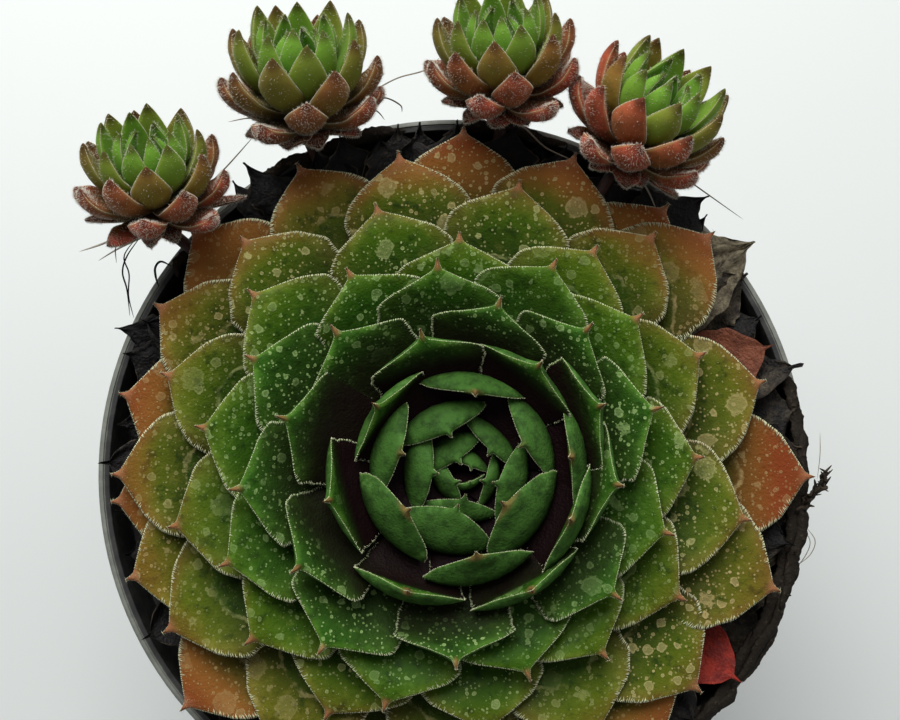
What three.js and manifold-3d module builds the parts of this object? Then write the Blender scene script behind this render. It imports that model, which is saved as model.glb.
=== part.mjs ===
// Hens and chicks: a large Sempervivum rosette in a round nursery pot, with four young rosettes
// that stand on short runners over the back of the rim.
// Millimetres, +Z up. The origin is the middle of the pot's foot, on the ground; +Y is the back.

import * as THREE from "three";
import { mergeVertices } from "three/addons/utils/BufferGeometryUtils.js";
import Module from "manifold-3d";

const wasm = await Module();
wasm.setup();

// ---- driving dimensions ----

const POT_HEIGHT = 95;
const RIM_RADIUS = 60;
const COLLAR_HEIGHT = 10;
const COLLAR_STEP = 2;
const FOOT_RADIUS = 42;
const WALL = 1.4;
const FLOOR = 3.6;
const GROOVE = { inner: 16, outer: 34, depth: 2 };
const DRAIN = { holes: 8, radius: 4, circle: 25, sides: 10 };
const POT_SIDES = 32;
const CLEARANCE = 0.3;
const SLIVER = 0.03;

const SOIL_TOP = POT_HEIGHT - 11;
const HEN = { x: -0.5, y: 0 };
const STEM_RADIUS = 7;
const STEM_TOP = POT_HEIGHT - 3.6;
const STEM_DEPTH = 22;
const STEM_SIDES = 20;

const SPIRAL_ANGLE = 137.56;
const HEN_PHASE = 122.2;
const HEN_BUD_LEAVES = 9;
const HEN_LEAVES = 80;
const HEN_BUD_FORM = 5;
const HEN_CROWN_LEAN = new THREE.Vector3(3, -2.2, 0);
const HEN_CLOSING_SIDE = 300;
const DRY_LEAVES = 20;
const CHICK_LEAVES = 33;
const RUNNER_RADIUS = 1.05;
const RUNNER_SIDES = { quarter: 4, steps: 13 };

// Where each young rosette stands (from the rim's plane), the way it points and its size.
const CHICKS = [
  { name: "chick_1", at: [-48.8, 40, 6.8], toward: [0.04, 0.66, 0.75], size: 1, phase: 20 },
  { name: "chick_2", at: [-24.8, 55.6, 6.8], toward: [0.03, 0.67, 0.74], size: 1.1, phase: 75 },
  { name: "chick_3", at: [8.5, 59.3, 7.5], toward: [-0.06, 0.63, 0.77], size: 1.04, phase: 0 },
  { name: "chick_4", at: [27.7, 50.4, 7], toward: [0.38, 0.52, 0.76], size: 1.08, phase: 45 },
];

// ---- small tools ----

const radians = THREE.MathUtils.degToRad;

// A repeatable number from -1 to 1 for leaf n and purpose k.
function jitter(n, k) {
  const s = Math.sin(n * 12.9898 + k * 78.233) * 43758.5453;
  return 2 * (s - Math.floor(s)) - 1;
}

// Straight lines through the pairs [x, y] of a table.
function along(table, x) {
  let i = 1;
  while (i < table.length - 1 && x > table[i][0]) i += 1;
  const [x0, y0] = table[i - 1];
  const [x1, y1] = table[i];
  const t = Math.min(Math.max((x - x0) / (x1 - x0), 0), 1);
  return y0 + t * (y1 - y0);
}

// A closed solid from corner points and faces.
function solid(points, faces) {
  return new wasm.Manifold(
    new wasm.Mesh({
      numProp: 3,
      vertProperties: new Float32Array(points.flat()),
      triVerts: new Uint32Array(faces.flat()),
    }),
  );
}

// The solid of a three.js geometry.
function solidOf(geometry) {
  const bare = geometry.index ? geometry.toNonIndexed() : geometry.clone();
  bare.deleteAttribute("normal");
  bare.deleteAttribute("uv");
  const merged = mergeVertices(bare, 1e-3);
  return new wasm.Manifold(
    new wasm.Mesh({
      numProp: 3,
      vertProperties: merged.attributes.position.array,
      triVerts: new Uint32Array(merged.index.array),
    }),
  );
}

function geometryOf(body) {
  const { vertProperties, triVerts } = body.getMesh();
  const geometry = new THREE.BufferGeometry();
  geometry.setAttribute("position", new THREE.BufferAttribute(vertProperties, 3));
  geometry.setIndex(new THREE.BufferAttribute(triVerts, 1));
  geometry.computeVertexNormals();
  return geometry;
}

// Joins solids two by two, closes slivers, and drops the small hollows sealed among them.
function joined(solids) {
  let row = solids;
  while (row.length > 1) {
    const next = [];
    for (let i = 0; i < row.length; i += 2) {
      next.push(i + 1 < row.length ? row[i].add(row[i + 1]) : row[i]);
    }
    row = next;
  }
  const bodies = row[0].simplify(SLIVER).decompose();
  return bodies.sort((a, b) => b.volume() - a.volume())[0];
}

// A solid turned about +Z from [radius, height] pairs that start and end on the axis.
function turned(profile, segments) {
  const lathe = new THREE.LatheGeometry(
    profile.map(([r, z]) => new THREE.Vector2(r, z)),
    segments,
  );
  lathe.rotateX(Math.PI / 2);
  return lathe;
}

function named(name, geometry, material) {
  const mesh = new THREE.Mesh(geometry, material);
  mesh.name = name;
  return mesh;
}

// ---- leaves ----

// Stations along a leaf: place on the midrib, share of the full width, share of the thickness.
const HEN_STATIONS = [
  [0, 0.43, 1.15],
  [0.4, 0.8, 1],
  [0.73, 1, 0.85],
  [0.87, 0.5, 0.7],
  [0.945, 0.1, 0.5],
];
const BUD_STATIONS = [
  [0, 0.7, 1],
  [0.4, 0.92, 1],
  [0.75, 1, 0.85],
  [0.94, 0.5, 0.5],
];
const CHICK_STATIONS = [
  [0, 0.7, 1],
  [0.5, 1, 1],
  [0.82, 0.62, 0.8],
];
const DRY_STATIONS = [
  [0, 0.5, 1.3],
  [0.35, 0.7, 1.1],
  [0.65, 1, 1],
  [0.88, 0.6, 1],
];

const KNEE_LEAN = 0.6;
const RECURVE = { start: 0.84, end: 1.08 };
const WAVES = 9;

// A leaf in its rosette's frame. The midrib bends from root over knee to tip, each [radius, height];
// across sets the corner points of a section as [share of half width, side].
function leafSolid({
  azimuth,
  root,
  knee,
  tip,
  width,
  thickness,
  cup,
  stations,
  across,
  wave = 0,
  lean = new THREE.Vector3(),
  recurve = 0,
}) {
  const out = new THREE.Vector3(Math.cos(azimuth), Math.sin(azimuth), 0);
  const side = new THREE.Vector3(-out.y, out.x, 0);
  const place = ([r, z], share) =>
    new THREE.Vector3(r * out.x, r * out.y, z).addScaledVector(lean, share);
  const rib = new THREE.QuadraticBezierCurve3(
    place(root, 0),
    place(knee, KNEE_LEAN),
    place(tip, 1),
  );
  const bent = (s) => 2 * recurve * THREE.MathUtils.smoothstep(s, RECURVE.start, RECURVE.end);
  const points = [];
  for (const [s, wide, thick] of stations) {
    const middle = rib.getPoint(s);
    const face = new THREE.Vector3().crossVectors(rib.getTangent(s), side);
    for (const [u, sign] of across) {
      const lift = cup * wide * u * u + wave * u * Math.sin(WAVES * s) - bent(s);
      const half = (sign * thickness * thick * (1 - u * u)) / 2;
      const p = middle
        .clone()
        .addScaledVector(side, (u * wide * width) / 2)
        .addScaledVector(face, lift + half);
      points.push(p.toArray());
    }
  }
  const tipFace = new THREE.Vector3().crossVectors(rib.getTangent(1), side);
  const point = rib.getPoint(1).addScaledVector(tipFace, -bent(1));
  const end = points.push(point.toArray()) - 1;
  const n = across.length;
  const last = n * (stations.length - 1);
  const faces = [];
  for (let ring = 0; ring < last; ring += n) {
    for (let i = 0; i < n; i += 1) {
      const j = (i + 1) % n;
      faces.push([ring + i, ring + n + i, ring + j]);
      faces.push([ring + j, ring + n + i, ring + n + j]);
    }
  }
  for (let i = 0; i < n; i += 1) faces.push([last + i, end, last + ((i + 1) % n)]);
  for (let i = 1; i < n - 1; i += 1) faces.push([0, i, i + 1]);
  return solid(points, faces);
}

const BROAD = [
  [-1, 1],
  [-0.45, 1],
  [0.45, 1],
  [1, 1],
  [0.45, -1],
  [-0.45, -1],
];
const NARROW = [
  [-1, 1],
  [0, 1],
  [1, 1],
  [0, -1],
];

// ---- the large rosette ----

// Tables over the leaf's number: 0 is the first leaf outside the bud, higher ones are older.
// Each leaf's degrees away from the spiral, and the radius of its tip.
const HEN_TIPS = [
  [-9, -34, 0.4], [-6, -33, 1.6], [-4, -30, 2.4], [-3, -22, 4.1], [-2, -34, 4.4], [-1, 0, 3.3],
  [0, -8, 6.3], [1, -10, 4.1], [2, -9, 8.6], [3, -12, 9.1], [4, 12, 6.3], [5, -8, 10.8],
  [6, -12, 8.5], [7, 1, 15.1], [8, 0, 14.6], [9, 3, 11.3], [10, -7, 18.7], [11, 0, 18.4],
  [12, 2, 17.2], [13, -6, 19.5], [14, 3, 18.2], [15, -5, 23], [16, 2, 25.7], [17, 1, 20.8],
  [18, -6, 25], [19, -2, 27.1], [20, -2, 24.5], [21, 1, 26.6], [22, 3, 28.8], [23, -3, 29.4],
  [24, 3, 32.7], [26, -4, 30.7], [27, -2, 34], [28, 0, 33], [29, 0, 35.2], [30, 1, 34.3],
  [31, -4, 35.5], [32, 0, 38.1], [33, 1, 35.8], [34, -2, 34.1], [35, -1, 38.5], [36, 3, 38.1],
  [37, 1, 40.1], [38, -1, 38.4], [39, 0, 36.7], [40, -2, 42], [41, -2, 40], [42, 0, 42.5],
  [44, 0, 42.5], [45, 1, 45.5], [46, 0, 42.8], [47, -2, 43.8], [49, 0, 45.1], [50, 2, 49],
  [52, 0, 48.1], [53, -3, 52.8], [54, -1, 49.2], [55, 5, 50.9], [57, 5, 51.2], [58, 2, 54.8],
  [59, -1, 53.9], [60, 4, 52.8], [62, 3, 53.8], [63, 3, 55.6], [65, 4, 56.1], [66, -2, 55.6],
  [67, 1, 57.1], [68, 0, 56.6], [70, 10, 58.7], [71, -1, 55.9], [73, 4, 56.9], [75, -1, 59.9],
  [76, 2, 59], [79, -3, 56.1],
];
const HEN_TURN = HEN_TIPS.map(([n, turn]) => [n, turn]);
const HEN_TIP_RADIUS = HEN_TIPS.map(([n, , radius]) => [n, radius]);
const HEN_TIP_HEIGHT = [
  [-9, 12.8],
  [-2, 14.5],
  [2, 16.5],
  [6, 18.5],
  [12, 20.5],
  [20, 20],
  [30, 16.5],
  [45, 11.5],
  [60, 8],
  [79, 5.8],
];
const HEN_WIDTH = [
  [-9, 6],
  [-6, 9.5],
  [-4, 12],
  [-1, 14.2],
  [1, 15],
  [4, 17],
  [9, 17.4],
  [15, 18],
  [25, 19],
  [45, 20.5],
  [79, 21.5],
];
// How far the knee of the midrib stands out, and how much more on the side that closes inwards.
const HEN_BULGE = [
  [-9, 4],
  [-6, 8],
  [-4, 11],
  [-1, 14],
  [1, 17],
  [6, 17.5],
  [9, 13],
  [14, 12],
  [20, 8],
  [30, 4],
  [45, 1.2],
  [79, 0],
];
const HEN_CLOSING = [
  [-9, 0],
  [0, 3],
  [6, 4],
  [9, 7],
  [14, 7],
  [20, 5],
  [30, 0],
];
const HEN_KNEE = [
  [-9, 0.4],
  [6, 0.3],
  [14, 0.3],
  [30, 0.26],
  [79, 0.18],
];
// How far the last stretch of a leaf bends outwards.
const HEN_RECURVE = [
  [-4, 0.2],
  [2, 0.5],
  [8, 1.5],
  [40, 1.2],
  [79, 0.6],
];
const HEN_ROOT = { radius: 0.4, radiusGain: 7.6, height: 8, heightLoss: 9 };
const HEN_KNEE_SHARE = 0.6;
const HEN_SCATTER = { height: 0.5, width: 0.04 };
const HEN_THICKNESS = { bud: 1.4, leaf: 2.7 };
const HEN_CUP = { share: 0.15, most: 1.6 };
const HEN_LEANING_LEAVES = 16;

function henLeaf(n) {
  const age = Math.max(n, 0) / (HEN_LEAVES - 1);
  const loose = Math.min(1, 0.25 + age * 2);
  const tipRadius = along(HEN_TIP_RADIUS, n);
  const tipHeight = along(HEN_TIP_HEIGHT, n) + HEN_SCATTER.height * loose * jitter(n, 4);
  const rootRadius = HEN_ROOT.radius + HEN_ROOT.radiusGain * age;
  const rootHeight = HEN_ROOT.height - HEN_ROOT.heightLoss * age;
  const azimuth = HEN_PHASE + SPIRAL_ANGLE * n + along(HEN_TURN, n);
  const closing = Math.cos(radians(azimuth - HEN_CLOSING_SIDE)) * along(HEN_CLOSING, n);
  const kneeOut = HEN_KNEE_SHARE * (tipRadius - rootRadius) + along(HEN_BULGE, n) + closing;
  const kneeUp = along(HEN_KNEE, n) * (tipHeight - rootHeight);
  const width = along(HEN_WIDTH, n);
  return leafSolid({
    azimuth: radians(azimuth),
    root: [rootRadius, rootHeight],
    knee: [rootRadius + kneeOut, rootHeight + kneeUp],
    tip: [tipRadius, tipHeight],
    width: width * (1 + HEN_SCATTER.width * jitter(n, 6)),
    thickness: n < 0 ? HEN_THICKNESS.bud : HEN_THICKNESS.leaf,
    cup: Math.min(HEN_CUP.most, HEN_CUP.share * width),
    stations: n < HEN_BUD_FORM ? BUD_STATIONS : HEN_STATIONS,
    across: n < HEN_BUD_FORM ? NARROW : BROAD,
    lean: HEN_CROWN_LEAN.clone().multiplyScalar(Math.max(0, 1 - Math.max(n, 0) / HEN_LEANING_LEAVES)),
    recurve: along(HEN_RECURVE, n),
  });
}

// The solid middle that the leaves stand on: [radius, height].
const HEN_CORE = [
  [0, -3.3],
  [7.5, -3.3],
  [9.5, -1.6],
  [9, 0.6],
  [6, 4],
  [2.5, 7.6],
  [0, 9],
];
const HEN_CORE_SIDES = 16;

function henRosette() {
  const core = solidOf(turned(HEN_CORE, HEN_CORE_SIDES));
  const leaves = [];
  for (let n = -HEN_BUD_LEAVES; n < HEN_LEAVES; n += 1) leaves.push(henLeaf(n));
  return joined([core, ...leaves]);
}

// ---- the young rosettes and their runners ----

const CHICK_TIP_RADIUS = [
  [0, 0.8],
  [4, 3.6],
  [10, 7],
  [18, 10],
  [26, 11.8],
  [33, 12.2],
];
const CHICK_TIP_HEIGHT = [
  [0, 16.4],
  [4, 18],
  [10, 18.4],
  [18, 16],
  [26, 10.8],
  [33, 4.8],
];
const CHICK_WIDTH = [
  [0, 2.6],
  [4, 4.4],
  [10, 5.8],
  [18, 6.4],
  [33, 5.8],
];
const CHICK_ROOT = { radius: 0.5, radiusGain: 1.3, height: 9.5, heightLoss: 7.6 };
const CHICK_KNEE = { share: 0.66, out: 4.4, up: 0.22 };
const CHICK_SCATTER = { radius: 0.03, height: 0.4, degrees: 4 };
const CHICK_THICKNESS = { bud: 1.5, gain: 0.9 };
const CHICK_CUP = 1;

function chickLeaf(n, phase) {
  const age = n / (CHICK_LEAVES - 1);
  const open = Math.min(1, age * 3);
  const spread = 1 + CHICK_SCATTER.radius * jitter(n, phase);
  const tipRadius = along(CHICK_TIP_RADIUS, n) * spread;
  const tipHeight = along(CHICK_TIP_HEIGHT, n) + CHICK_SCATTER.height * jitter(n, phase + 1);
  const rootRadius = CHICK_ROOT.radius + CHICK_ROOT.radiusGain * age;
  const rootHeight = CHICK_ROOT.height - CHICK_ROOT.heightLoss * age;
  const kneeRadius = tipRadius * CHICK_KNEE.share + CHICK_KNEE.out;
  const kneeHeight = rootHeight + CHICK_KNEE.up * (tipHeight - rootHeight);
  const turn = CHICK_SCATTER.degrees * jitter(n, phase + 2);
  return leafSolid({
    azimuth: radians(phase + SPIRAL_ANGLE * n + turn),
    root: [rootRadius, rootHeight],
    knee: [kneeRadius, kneeHeight],
    tip: [tipRadius, tipHeight],
    width: along(CHICK_WIDTH, n),
    thickness: CHICK_THICKNESS.bud + CHICK_THICKNESS.gain * Math.min(1, age * 2),
    cup: CHICK_CUP * open,
    stations: CHICK_STATIONS,
    across: NARROW,
  });
}

// The runner goes from the young rosette's foot over the rim, under the live leaves, to the old stem.
function runner({ at, toward }) {
  const foot = new THREE.Vector3(...at);
  const axis = new THREE.Vector3(...toward).normalize();
  const inward = new THREE.Vector3(HEN.x - at[0], HEN.y - at[1], 0);
  const reach = inward.length();
  inward.normalize();
  const rim = Math.hypot(at[0], at[1]);
  const step = (fromStem, height) =>
    new THREE.Vector3(HEN.x, HEN.y, height).addScaledVector(inward, -fromStem);
  const path = new THREE.CatmullRomCurve3([
    foot.clone().addScaledVector(axis, 3),
    foot,
    step(reach - (rim - RIM_RADIUS) - 0.4, 1.75),
    step(reach - (rim - RIM_RADIUS) - 6, 1.3),
    step(45, 0.1),
    step(32, -1.9),
    step(20, -3.6),
    step(STEM_RADIUS + 0.4, -5.2),
  ]);
  const section = new THREE.Shape();
  section.absarc(0, 0, RUNNER_RADIUS, 0, 2 * Math.PI);
  const tube = new THREE.ExtrudeGeometry(section, {
    curveSegments: RUNNER_SIDES.quarter,
    steps: RUNNER_SIDES.steps,
    extrudePath: path,
    bevelEnabled: false,
  });
  return solidOf(tube);
}

const CHICK_CORE = [
  [0, -1.2],
  [2, -0.6],
  [3.4, 1.4],
  [3, 5],
  [1.6, 9],
  [0, 12],
];
const CHICK_CORE_SIDES = 10;

function chick(spec) {
  const core = solidOf(turned(CHICK_CORE, CHICK_CORE_SIDES));
  const leaves = [];
  for (let n = 0; n < CHICK_LEAVES; n += 1) leaves.push(chickLeaf(n, spec.phase));
  const turn = new THREE.Quaternion().setFromUnitVectors(
    new THREE.Vector3(0, 0, 1),
    new THREE.Vector3(...spec.toward).normalize(),
  );
  const stand = new THREE.Matrix4().compose(
    new THREE.Vector3(...spec.at),
    turn,
    new THREE.Vector3(spec.size, spec.size, spec.size),
  );
  const rosette = geometryOf(joined([core, ...leaves])).applyMatrix4(stand);
  return joined([solidOf(rosette), runner(spec)]);
}

// ---- the old stem and its dry leaves ----

// The smallest angle from an azimuth, seen from the stem, to a runner.
function toNearestRunner(azimuth) {
  const gaps = CHICKS.map(({ at }) => {
    const turn = azimuth - (Math.atan2(at[1] - HEN.y, at[0] - HEN.x) * 180) / Math.PI;
    return Math.abs(((((turn + 180) % 360) + 360) % 360) - 180);
  });
  return Math.min(...gaps);
}

// Dry leaves that reach the rim where it shows: degrees away from the spiral, and tip radius.
const DRY_TIPS = { 80: [-3.5, 59.2], 83: [0, 57.8], 88: [0, 58.5], 91: [-5, 63.6], 96: [7, 61.4] };
// The others scatter a little; those under a runner stay short and low.
const DRY_REACH = { middle: 58, scatter: 1.2 };
const DRY_ROOT = [4, -8.2];
const DRY_KNEE = [38, -6.2];
const DRY_TIP_HEIGHT = { middle: 4, scatter: 0.3 };
const DRY_WIDTH = { middle: 12.5, scatter: 1.5 };
const DRY_DEGREES = 3;
const DRY_SHEET = { thickness: 1, cup: 0.5, wave: 0.25 };
const UNDER_RUNNER = { within: 10, knee: [30, -8.4], tip: [45, -4.6] };

function dryLeaf(n) {
  const scattered = [DRY_DEGREES * jitter(n, 5), DRY_REACH.middle + DRY_REACH.scatter * jitter(n, 3)];
  const [turn, reach] = DRY_TIPS[n] ?? scattered;
  const azimuth = HEN_PHASE + SPIRAL_ANGLE * n + turn;
  const free = toNearestRunner(azimuth) > UNDER_RUNNER.within;
  const height = DRY_TIP_HEIGHT.middle + DRY_TIP_HEIGHT.scatter * jitter(n, 7);
  return leafSolid({
    azimuth: radians(azimuth),
    root: DRY_ROOT,
    knee: free ? DRY_KNEE : UNDER_RUNNER.knee,
    tip: free ? [reach, height] : UNDER_RUNNER.tip,
    width: DRY_WIDTH.middle + DRY_WIDTH.scatter * jitter(n, 6),
    thickness: DRY_SHEET.thickness,
    cup: DRY_SHEET.cup,
    stations: DRY_STATIONS,
    across: NARROW,
    wave: DRY_SHEET.wave,
  });
}

function oldStem() {
  const bottom = SOIL_TOP - STEM_DEPTH - POT_HEIGHT;
  const top = STEM_TOP - POT_HEIGHT;
  const trunk = solidOf(
    turned(
      [
        [0, bottom],
        [3.5, bottom],
        [STEM_RADIUS - 0.6, bottom + 4],
        [STEM_RADIUS, bottom + 12],
        [STEM_RADIUS, top],
        [0, top],
      ],
      STEM_SIDES,
    ),
  );
  const leaves = [];
  for (let n = HEN_LEAVES; n < HEN_LEAVES + DRY_LEAVES; n += 1) leaves.push(dryLeaf(n));
  return joined([trunk, ...leaves]);
}

// ---- pot and soil ----

function pot() {
  const collar = POT_HEIGHT - COLLAR_HEIGHT;
  const shoulder = RIM_RADIUS - COLLAR_STEP - 1.2;
  const wall = turned(
    [
      [0, 0],
      [GROOVE.inner - 2, 0],
      [GROOVE.inner, GROOVE.depth],
      [GROOVE.outer, GROOVE.depth],
      [GROOVE.outer + 2, 0],
      [FOOT_RADIUS - 0.8, 0],
      [FOOT_RADIUS, 0.8],
      [shoulder, collar - 0.8],
      [RIM_RADIUS - 1.3, collar],
      [RIM_RADIUS - 0.5, POT_HEIGHT - 1.6],
      [RIM_RADIUS, POT_HEIGHT - 1.4],
      [RIM_RADIUS, POT_HEIGHT - 0.4],
      [RIM_RADIUS - 0.4, POT_HEIGHT],
      [RIM_RADIUS - 1.9, POT_HEIGHT],
      [RIM_RADIUS - 2.7, collar + 0.6],
      [shoulder - WALL, collar - 1],
      [FOOT_RADIUS - WALL, FLOOR],
      [0, FLOOR],
    ],
    POT_SIDES,
  );
  let body = solidOf(wall);
  for (let i = 0; i < DRAIN.holes; i += 1) {
    const turn = (2 * Math.PI * (i + 0.5)) / DRAIN.holes;
    const drill = new THREE.CylinderGeometry(DRAIN.radius, DRAIN.radius, 3 * FLOOR, DRAIN.sides);
    drill.rotateX(Math.PI / 2);
    drill.translate(DRAIN.circle * Math.cos(turn), DRAIN.circle * Math.sin(turn), 0);
    body = body.subtract(solidOf(drill));
  }
  return body;
}

function soil() {
  const shoulder = RIM_RADIUS - COLLAR_STEP - 1.2 - WALL;
  const rise = (shoulder - FOOT_RADIUS + WALL) / (POT_HEIGHT - COLLAR_HEIGHT - 1 - FLOOR);
  const bottom = FLOOR + CLEARANCE;
  const radiusAt = (z) => FOOT_RADIUS - WALL + rise * (z - FLOOR) - CLEARANCE - 0.1;
  const fill = turned(
    [
      [0, bottom],
      [radiusAt(bottom), bottom],
      [radiusAt(SOIL_TOP - 0.6), SOIL_TOP - 0.6],
      [radiusAt(SOIL_TOP) - 2, SOIL_TOP],
      [0, SOIL_TOP],
    ],
    POT_SIDES,
  );
  const radius = STEM_RADIUS + CLEARANCE;
  const depth = STEM_DEPTH + CLEARANCE;
  const hole = new THREE.CylinderGeometry(radius, radius, 2 * depth, STEM_SIDES);
  hole.rotateX(Math.PI / 2);
  hole.translate(HEN.x, HEN.y, SOIL_TOP);
  return solidOf(fill).subtract(solidOf(hole));
}

// ---- the plant in its pot ----

const potPlastic = new THREE.MeshStandardMaterial({ color: 0x2a2b2d, roughness: 0.5, metalness: 0 });
const soilBrown = new THREE.MeshStandardMaterial({ color: 0x241a13, roughness: 0.95, metalness: 0 });
const dryBrown = new THREE.MeshStandardMaterial({ color: 0x3d2d23, roughness: 0.85, metalness: 0 });
const henGreen = new THREE.MeshStandardMaterial({ color: 0x4c7a33, roughness: 0.5, metalness: 0 });
const chickGreen = new THREE.MeshStandardMaterial({ color: 0x557a38, roughness: 0.6, metalness: 0 });
const chickRed = new THREE.MeshStandardMaterial({ color: 0x8a5a3c, roughness: 0.6, metalness: 0 });

const plantedPot = new THREE.Group();
plantedPot.add(named("pot", geometryOf(pot()), potPlastic));
plantedPot.add(named("soil", geometryOf(soil()), soilBrown));

const rimPlane = new THREE.Group();
rimPlane.position.z = POT_HEIGHT;
plantedPot.add(rimPlane);

const hen = new THREE.Group();
hen.position.set(HEN.x, HEN.y, 0);
hen.add(named("old_stem", geometryOf(oldStem()), dryBrown));
hen.add(named("hen_rosette", geometryOf(henRosette()), henGreen));
rimPlane.add(hen);

for (const spec of CHICKS) {
  const colour = spec.name === "chick_4" ? chickRed : chickGreen;
  rimPlane.add(named(spec.name, geometryOf(chick(spec)), colour));
}

export default plantedPot;
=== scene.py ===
"""Hens and chicks in a nursery pot: one large Sempervivum rosette, four young ones and their pot.

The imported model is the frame. Sizes of the plant are in millimetres, as in the frame's own source,
and every piece is made in metres at its own place, with its object at the origin.
"""

import math
from collections.abc import Callable
from dataclasses import dataclass

import bmesh
import bpy
import numpy as np
from bpy.props import FloatProperty, FloatVectorProperty, PointerProperty
from mathutils import Matrix, Vector, noise


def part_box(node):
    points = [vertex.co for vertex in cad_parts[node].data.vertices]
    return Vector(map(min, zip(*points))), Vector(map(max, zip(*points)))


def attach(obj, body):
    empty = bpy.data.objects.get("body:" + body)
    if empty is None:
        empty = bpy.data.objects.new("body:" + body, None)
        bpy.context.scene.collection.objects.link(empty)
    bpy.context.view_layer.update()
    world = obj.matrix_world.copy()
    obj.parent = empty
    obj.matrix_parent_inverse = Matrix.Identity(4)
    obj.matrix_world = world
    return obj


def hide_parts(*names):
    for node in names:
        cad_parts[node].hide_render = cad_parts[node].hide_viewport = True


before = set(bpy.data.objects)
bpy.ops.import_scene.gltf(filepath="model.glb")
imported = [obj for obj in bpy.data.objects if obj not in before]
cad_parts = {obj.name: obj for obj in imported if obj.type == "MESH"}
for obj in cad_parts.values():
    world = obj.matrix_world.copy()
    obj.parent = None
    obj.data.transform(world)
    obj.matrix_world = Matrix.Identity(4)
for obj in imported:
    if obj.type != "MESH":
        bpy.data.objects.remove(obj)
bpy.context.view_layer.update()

bl_info = {
    "name": "Hens and Chicks",
    "version": (1, 0, 0),
    "blender": (4, 5, 0),
    "location": "View3D > Sidebar > Hens and Chicks",
    "description": "Builds a potted Sempervivum rosette with four young rosettes",
    "category": "Add Mesh",
}

MM = 0.001
POT_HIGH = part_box("pot")[1]
SOIL_LOW, SOIL_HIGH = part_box("soil")
RIM = POT_HIGH.z / MM
RIM_RADIUS = POT_HIGH.x / MM
SOIL_TOP = SOIL_HIGH.z / MM
TO_RIM = np.array([0, 0, RIM])

# The pot: its collar, foot and taper, the groove under its foot (inner and outer radius, height),
# the floor inside, and the drain holes in the groove's roof.
COLLAR_HEIGHT = 10
FOOT_RADIUS = 42
TAPER = 0.174
GROOVE_INNER, GROOVE_OUTER, GROOVE_ROOF = 16, 34, 2
POT_FLOOR = 3.6
DRAIN_HOLES, DRAIN_CIRCLE, DRAIN_RADIUS = 8, 25, 4

STEM_TOP = -3.6
STEM_HOLE_RADIUS, STEM_HOLE_DEPTH = 7.4, 22.3
SOIL_CRUMBS = 900

HEN_AT = np.array([-0.5, 0.0, RIM])
SPIRAL_ANGLE = 137.56
HEN_PHASE = 122.2
HEN_BUD_LEAVES = 9
HEN_LEAVES = 80
HEN_CROWN_LEAN = np.array([3.0, -2.2, 0.0])
HEN_CLOSING_SIDE = 300
DRY_LEAVES = 20
FIRST_SCRAP = 100
CHICK_LEAVES = 33
RUNNER_RADIUS = 1.05

# Where random draws start.
HEN_SEED, CHICK_SEED, CRUMB_SEED = 11, 40, 5

# The camera, in millimetres from the middle of the rim, and its tilt in degrees.
CAMERA_AT = (-0.46, -1.98, 186.67)
CAMERA_TILT = 6

# Each young rosette: its foot from the rim's plane, the way it points, its size, its first
# leaf's turn, how red it has grown, and the side of it that has the most colour.
CHICKS = (
    {"name": "chick_1", "at": (-48.8, 40, 6.8), "toward": (0.04, 0.66, 0.75),
     "size": 1, "phase": 20, "red": 0.55, "red_side": (0.3, -1.0)},
    {"name": "chick_2", "at": (-24.8, 55.6, 6.8), "toward": (0.03, 0.67, 0.74),
     "size": 1.1, "phase": 75, "red": 0.25, "red_side": (0.6, -0.8)},
    {"name": "chick_3", "at": (8.5, 59.3, 7.5), "toward": (-0.06, 0.63, 0.77),
     "size": 1.04, "phase": 0, "red": 0.6, "red_side": (0.2, -1.0)},
    {"name": "chick_4", "at": (27.7, 50.4, 7), "toward": (0.38, 0.52, 0.76),
     "size": 1.08, "phase": 45, "red": 1.0, "red_side": (-1.0, -0.35)},
)

# Wilted leaves that hang under each young rosette: azimuth, reach, height and width.
SKIRTS = {
    "chick_1": ((-127, 10.8, 1, 4.4), (-90, 7.8, 0.6, 4), (8, 9.5, 1.2, 3.6), (24, 15.2, 1, 2.4),
                (-172, 12, 1, 2.8), (-60, 7.4, 0.6, 4.2), (150, 11, 0.6, 3)),
    "chick_2": ((-155, 9.3, 1, 3.6), (-108, 6.6, 0.6, 6), (-68, 6.8, 0.8, 5), (-20, 9.2, 1.2, 4),
                (165, 9.6, 1, 4), (60, 9.4, 0.4, 4)),
    "chick_3": ((-100, 7, 0.8, 5.4), (-58, 7.6, 1, 5), (-142, 8.2, 1, 4.8), (-15, 9.8, 1.2, 4),
                (178, 10, 1.2, 4), (80, 9.4, 0.4, 4)),
    "chick_4": ((-18, 10.4, 1, 3.6), (-64, 6.4, 0.8, 4), (-32, 11, 0.2, 2.4), (-100, 7.2, 0.8, 5),
                (-142, 8, 1, 4.4), (160, 9.4, 1, 4), (70, 9.4, 0.4, 4)),
}

# Old leaves of the large rosette that have turned orange or red: leaf number and how far.
RUSTED = {75: 1.2, 76: 1.0, 74: 0.8, 72: 0.6, 67: 0.2, 73: 1.1, 63: 0.32, 78: 0.8, 60: 0.45,
          77: 0.6, 79: 0.45, 70: 0.55, 71: 0.75, 68: 0.45, 66: 0.25, 65: 0.6, 57: 0.35, 58: 0.35,
          62: 0.2, 55: 0.3, 53: 0.2, 52: 0.2, 69: 0.5}

# Oldest leaves that have wilted but not dried: their kind (0 brown, 0.5 salmon, 1 red), how far.
WILTED = {80: (1.0, 1.0), 82: (0.5, 0.9), 83: (0.2, 1.0)}

# Dry leaves that reach the rim where it shows: degrees away from the spiral, and tip radius.
DRY_TIPS = {80: (-3.5, 59.2), 83: (0, 57.8), 88: (0, 58.5), 91: (-5, 63.6), 96: (7, 61.4)}

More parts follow.
